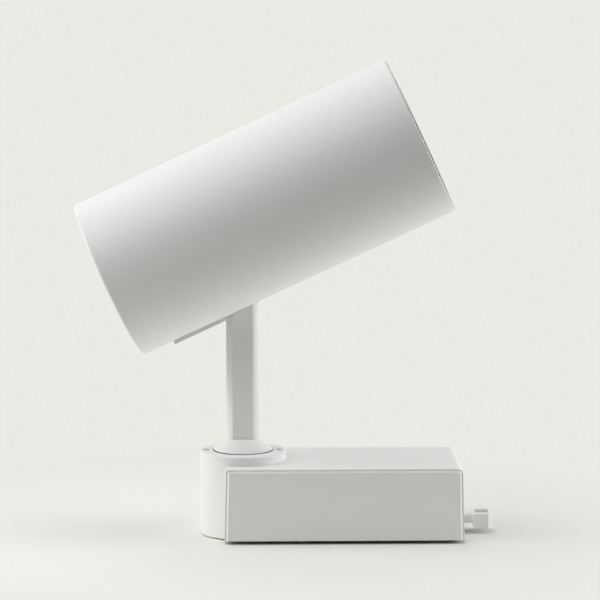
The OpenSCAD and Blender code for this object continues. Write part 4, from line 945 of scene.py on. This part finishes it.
def box_outline(inset, foot=BOX_FOOT, y=0.0):
    """The box seen from the front, moved in by an inset, as a section at a depth."""
    top = BOX_TOP - inset
    outline = [(end_x(-1, foot, inset), foot), (end_x(1, foot, inset), foot)]
    for side, corner, turn in ((1, ROUND_RIGHT, (LEAN_ANGLE, 90)), (-1, ROUND_LEFT, (90, 180 - LEAN_ANGLE))):
        r = max(corner - inset, 0.3)
        outline += arc((end_x(side, top - r, inset) - side * r, top - r), r, *turn, 8)
    return [(x, y, z) for x, z in outline]


def rounded_end(y, radius, inward, steps=6):
    """Insets and depths of sections that round an end of the box."""
    angles = np.radians(np.linspace(90, 0, steps + 1))
    return [(radius * (1 - sin(a)), y + inward * radius * (1 - cos(a))) for a in angles]


front_rim = rounded_end(-BOX_FRONT + COVER_CHAMFER, ROUND_FRONT, 1)[::-1]
back_rim = rounded_end(BOX_BACK, ROUND_BACK, -1)
shell = stacked("box", [box_outline(inset, y=depth) for inset, depth in front_rim + back_rim])
hollow = [box_outline(BOX_WALL, BOX_FOOT - 0.5, y) for y in (-BOX_FRONT - 1, BOX_BACK - BOX_WALL)]
cut(shell, stacked("hollow", hollow), rod("seat", SEAT_RADIUS, 0, 60, steps=224))
way_low, way_high = (BOX_RIGHT - 3, -WAY_WIDTH / 2, WAY_LOW), (BOX_RIGHT + 7, WAY_WIDTH / 2, WAY_HIGH)
cut(shell, block("tab_way", way_low, way_high))
dress(surfaced(shell, 0.12), "gear_box", "white_coat", "gear_box_shell")

inset = BOX_WALL + COVER_SEAM
cover_sections = [(inset + COVER_CHAMFER, 0), (inset, COVER_CHAMFER), (inset, COVER_DEPTH)]
cover = stacked("cover", [box_outline(d, y=depth - BOX_FRONT) for d, depth in cover_sections])
dress(surfaced(cover, 0.18, crease=30), "gear_box", "white_coat", "front_cover")

# %% [markdown]
# ## The finger tab
#
# A fingertip pushes the small white tab at the box's right end to turn the lugs under the adapter. The tab
# is its plan drawn up, with a slanted foot towards the box and a hollow top. Its edges and its neck's are a
# little rounder than those of the coated metal. The slide behind it is inside the box, so a copy of its CAD
# shape is good enough and is joined on.

# %% Draw the finger tab
NECK_FROM, NECK_SHOWS, NECK_WIDTH, NECK_FOOT, NECK_TOP = 120.0, 6.3, 10.0, 5.8, 11.0
TAB_START = BOX_RIGHT + (BOX_TOP - NECK_FOOT) * BOX_LEAN + NECK_SHOWS
TAB_END, TAB_WIDTH, TAB_FOOT, TAB_TOP = TAB_START + 12.1, 17.0, 3.0, 11.85
TAB_CORNER, TAB_SLANT, TAB_WALL, TAB_SIDE, TAB_FLOOR = 2.6, 1.2, 2.3, 4.0, 2.0
TAB_EASE = 0.4

tab_front = -TAB_WIDTH / 2
half_plan = [(TAB_START, tab_front), (TAB_END - TAB_CORNER, tab_front), (TAB_END, tab_front + TAB_CORNER)]
tab_plan = half_plan + [(x, -y) for x, y in reversed(half_plan)]
tab = upright("tab", tab_plan, TAB_FOOT, TAB_TOP)
slant_rise = (TAB_TOP - TAB_FOOT) / 3
wedge = [
    (TAB_START - TAB_SLANT, TAB_FOOT + 2 * slant_rise),
    (TAB_START + 2 * TAB_SLANT, TAB_FOOT - slant_rise),
    (TAB_START - 5, TAB_FOOT - slant_rise),
]
hollow_low = (TAB_START + TAB_WALL, tab_front + TAB_SIDE, TAB_FOOT + TAB_FLOOR)
hollow_high = (TAB_END - TAB_WALL, -tab_front - TAB_SIDE, TAB_TOP + 1)
cut(tab, across("wedge", wedge, -20, 20), block("hollow", hollow_low, hollow_high))
surfaced(tab, TAB_EASE, crease=30)
neck_low, neck_high = (NECK_FROM, -NECK_WIDTH / 2, NECK_FOOT), (TAB_START + 1, NECK_WIDTH / 2, NECK_TOP)
neck = surfaced(block("neck", neck_low, neck_high), TAB_EASE)
slide = cad_copy("slide", "lock_slide")
cut(slide, block("beyond", (NECK_FROM + 1, -20, 0), (160, 20, 30)))
finger_slide = surfaced(cut(tab, neck, surfaced(slide, 0.2), operation="UNION"))
finger_slide.name = "finger_slide"
dress(finger_slide, "lock_slide", "white_plastic", "lock_slide")

# %% [markdown]
# ## The track adapter and its lugs
#
# The adapter and its keel are mouldings, and the two lugs that grip the track are stamped steel. They could
# be drawn again, but their CAD shapes are right, so each is a copy with its edges broken. Two cross-head
# screws hold the keel from below.

# %% Ease the adapter and the lugs
KEEL_SCREW, KEEL_SCREW_LENGTH, KEEL_SCREW_X, KEEL_FACE = 2.5, 8.1, (62, 80), -12
dress(surfaced(cad_copy("adapter", "adapter_body"), 0.2), "gear_box", "white_plastic", "adapter_body")
dress(surfaced(cad_copy("keel", "keel_cap"), 0.25), "gear_box", "white_plastic", "keel_cap")
for name in ("front_lug", "rear_lug"):
    dress(surfaced(cad_copy("turning_" + name, name), 0.25), name, "plated_steel", name)
facing_down = raised(KEEL_FACE) @ rotated(180, "X")
keel_points = [(x, 0, 0) for x in KEEL_SCREW_X]
keel_set = screws("keel_set", KEEL_SCREW, keel_points, KEEL_SCREW_LENGTH, facing_down)
dress(keel_set, "gear_box", "plated_steel", "keel_screws")

# %% [markdown]
# ## The floor
#
# The photograph was taken on a pale seamless surface. It ends not far in front of the lamp, which is why
# the high head gets less light from below than the low gear box. Near the lamp the paper is plain matt and
# keeps the shadow. Farther off the camera sees it evenly pale, as a lit backdrop is.

# %% Stage the floor
PAPER = (0.86, 0.86, 0.82, 1)
BACKGROUND = (0.826, 0.826, 0.789, 1)
FLOOR_REACH, FLOOR_FRONT = 30.0, -0.3
MATT_WITHIN, LIT_BEYOND = 0.13, 0.28
floor_mesh = bpy.data.meshes.new("floor")
corners = [(-FLOOR_REACH, FLOOR_FRONT, 0), (FLOOR_REACH, FLOOR_FRONT, 0)]
corners += [(FLOOR_REACH, FLOOR_REACH, 0), (-FLOOR_REACH, FLOOR_REACH, 0)]
floor_mesh.from_pydata(corners, [], [(0, 1, 2, 3)])
floor = in_scene("floor", floor_mesh)
paper = bpy.data.materials.new("seamless_paper")
paper.use_nodes = True
tree = paper.node_tree
tree.nodes.clear()
matt = node(tree, "ShaderNodeBsdfDiffuse", Color=PAPER)
lit = node(tree, "ShaderNodeEmission", Color=BACKGROUND, Strength=1.0)
where = node(tree, "ShaderNodeTexCoord").outputs["Object"]
away = vector_maths(tree, "LENGTH", where)
soft_step = {"interpolation_type": "SMOOTHSTEP"}
far = node(tree, "ShaderNodeMapRange", soft_step, Value=away, From_Min=MATT_WITHIN, From_Max=LIT_BEYOND)
seen = node(tree, "ShaderNodeLightPath").outputs["Is Camera Ray"]
share = maths(tree, "MULTIPLY", far.outputs[0], seen)
paper_mix = node(tree, "ShaderNodeMixShader", Fac=share, i1=matt.outputs[0], i2=lit.outputs[0])
node(tree, "ShaderNodeOutputMaterial", Surface=paper_mix.outputs[0])
floor.data.materials.append(paper)
print("floor staged")

# %% [markdown]
# ## The light
#
# The light is soft and comes from both sides, from above and a little from behind. Hardly anything comes
# from the camera's side, so the faces turned to the camera are the darkest. A world of smooth lobes gives
# the far light without the edges that big lamps would have: each lobe is the cosine of the angle to a
# direction, raised to a power. The head is also brighter at its left end, which only near light does, so
# six soft lamps stand about a metre away. Where the paper ends, the world shows the paper's pale colour to
# the camera, and to glass and metal too.

# %% Light the scene
LOBES = [(0, 10, 2.4), (60, 10, 1.4), (180, 10, 2.1), (120, 60, 1.4), (180, 60, 0.9), (0, 90, 0.45)]
LOBE_SHARPNESS, LIGHT_COLOUR = 12.0, (1, 0.997, 0.99, 1)
LAMPS = [
    ((-0.9, -0.5, 0.8), 2.1),
    ((-0.9, 0.0, 0.6), 3.1),
    ((-0.5, -0.6, 1.0), 1.1),
    ((0.9, 0.0, 0.27), 2.8),
    ((0.2, -0.2, 1.2), 0.9),
    ((0.9, -0.4, 0.8), 1.0),
]
LAMP_SIZE, LAMP_AIM = 0.6, Vector((0, 0, 0.13))

world = bpy.data.worlds.new("soft_light")
bpy.context.scene.world = world
world.use_nodes = True
tree = world.node_tree
tree.nodes.clear()
direction = node(tree, "ShaderNodeTexCoord").outputs["Generated"]
level = 0.0
for bearing, rise, strength in LOBES:
    turn, lift = radians(bearing), radians(rise)
    aim = (cos(lift) * cos(turn), cos(lift) * sin(turn), sin(lift))
    aimed = vector_maths(tree, "DOT_PRODUCT", direction, aim)
    lobe = maths(tree, "POWER", maths(tree, "MAXIMUM", aimed, 0.0), LOBE_SHARPNESS)
    level = maths(tree, "ADD", maths(tree, "MULTIPLY", lobe, strength), level)
light = node(tree, "ShaderNodeBackground", Color=LIGHT_COLOUR, Strength=level)
plain = node(tree, "ShaderNodeBackground", Color=BACKGROUND, Strength=1.0)
rays = node(tree, "ShaderNodeLightPath").outputs
seen_by = maths(tree, "MAXIMUM", rays["Is Camera Ray"], rays["Is Glossy Ray"])
seen_by = maths(tree, "MAXIMUM", seen_by, rays["Is Transmission Ray"])
shown = node(tree, "ShaderNodeMixShader", Fac=seen_by, i1=light.outputs[0], i2=plain.outputs[0])
node(tree, "ShaderNodeOutputWorld", Surface=shown.outputs[0])

for place, watts in LAMPS:
    lamp = bpy.data.lights.new("soft_lamp", "AREA")
    lamp.shape, lamp.size, lamp.energy = "DISK", LAMP_SIZE, watts
    stand = in_scene("soft_lamp", lamp)
    stand.location = place
    stand.rotation_euler = (LAMP_AIM - Vector(place)).to_track_quat("-Z", "Y").to_euler()
bpy.context.scene.view_settings.view_transform = "Standard"
print("light:", len(LOBES), "lobes and", len(LAMPS), "lamps")

# %% [markdown]
# ## Measure and finish
#
# The visual model must not outgrow the CAD model. The box that the CAD model had when it was loaded is
# printed at the end.

# %% Write the sizes and finish
print("CAD box mm   ", [[round(1000 * v, 2) for v in c] for c in (cad_low, cad_high)])
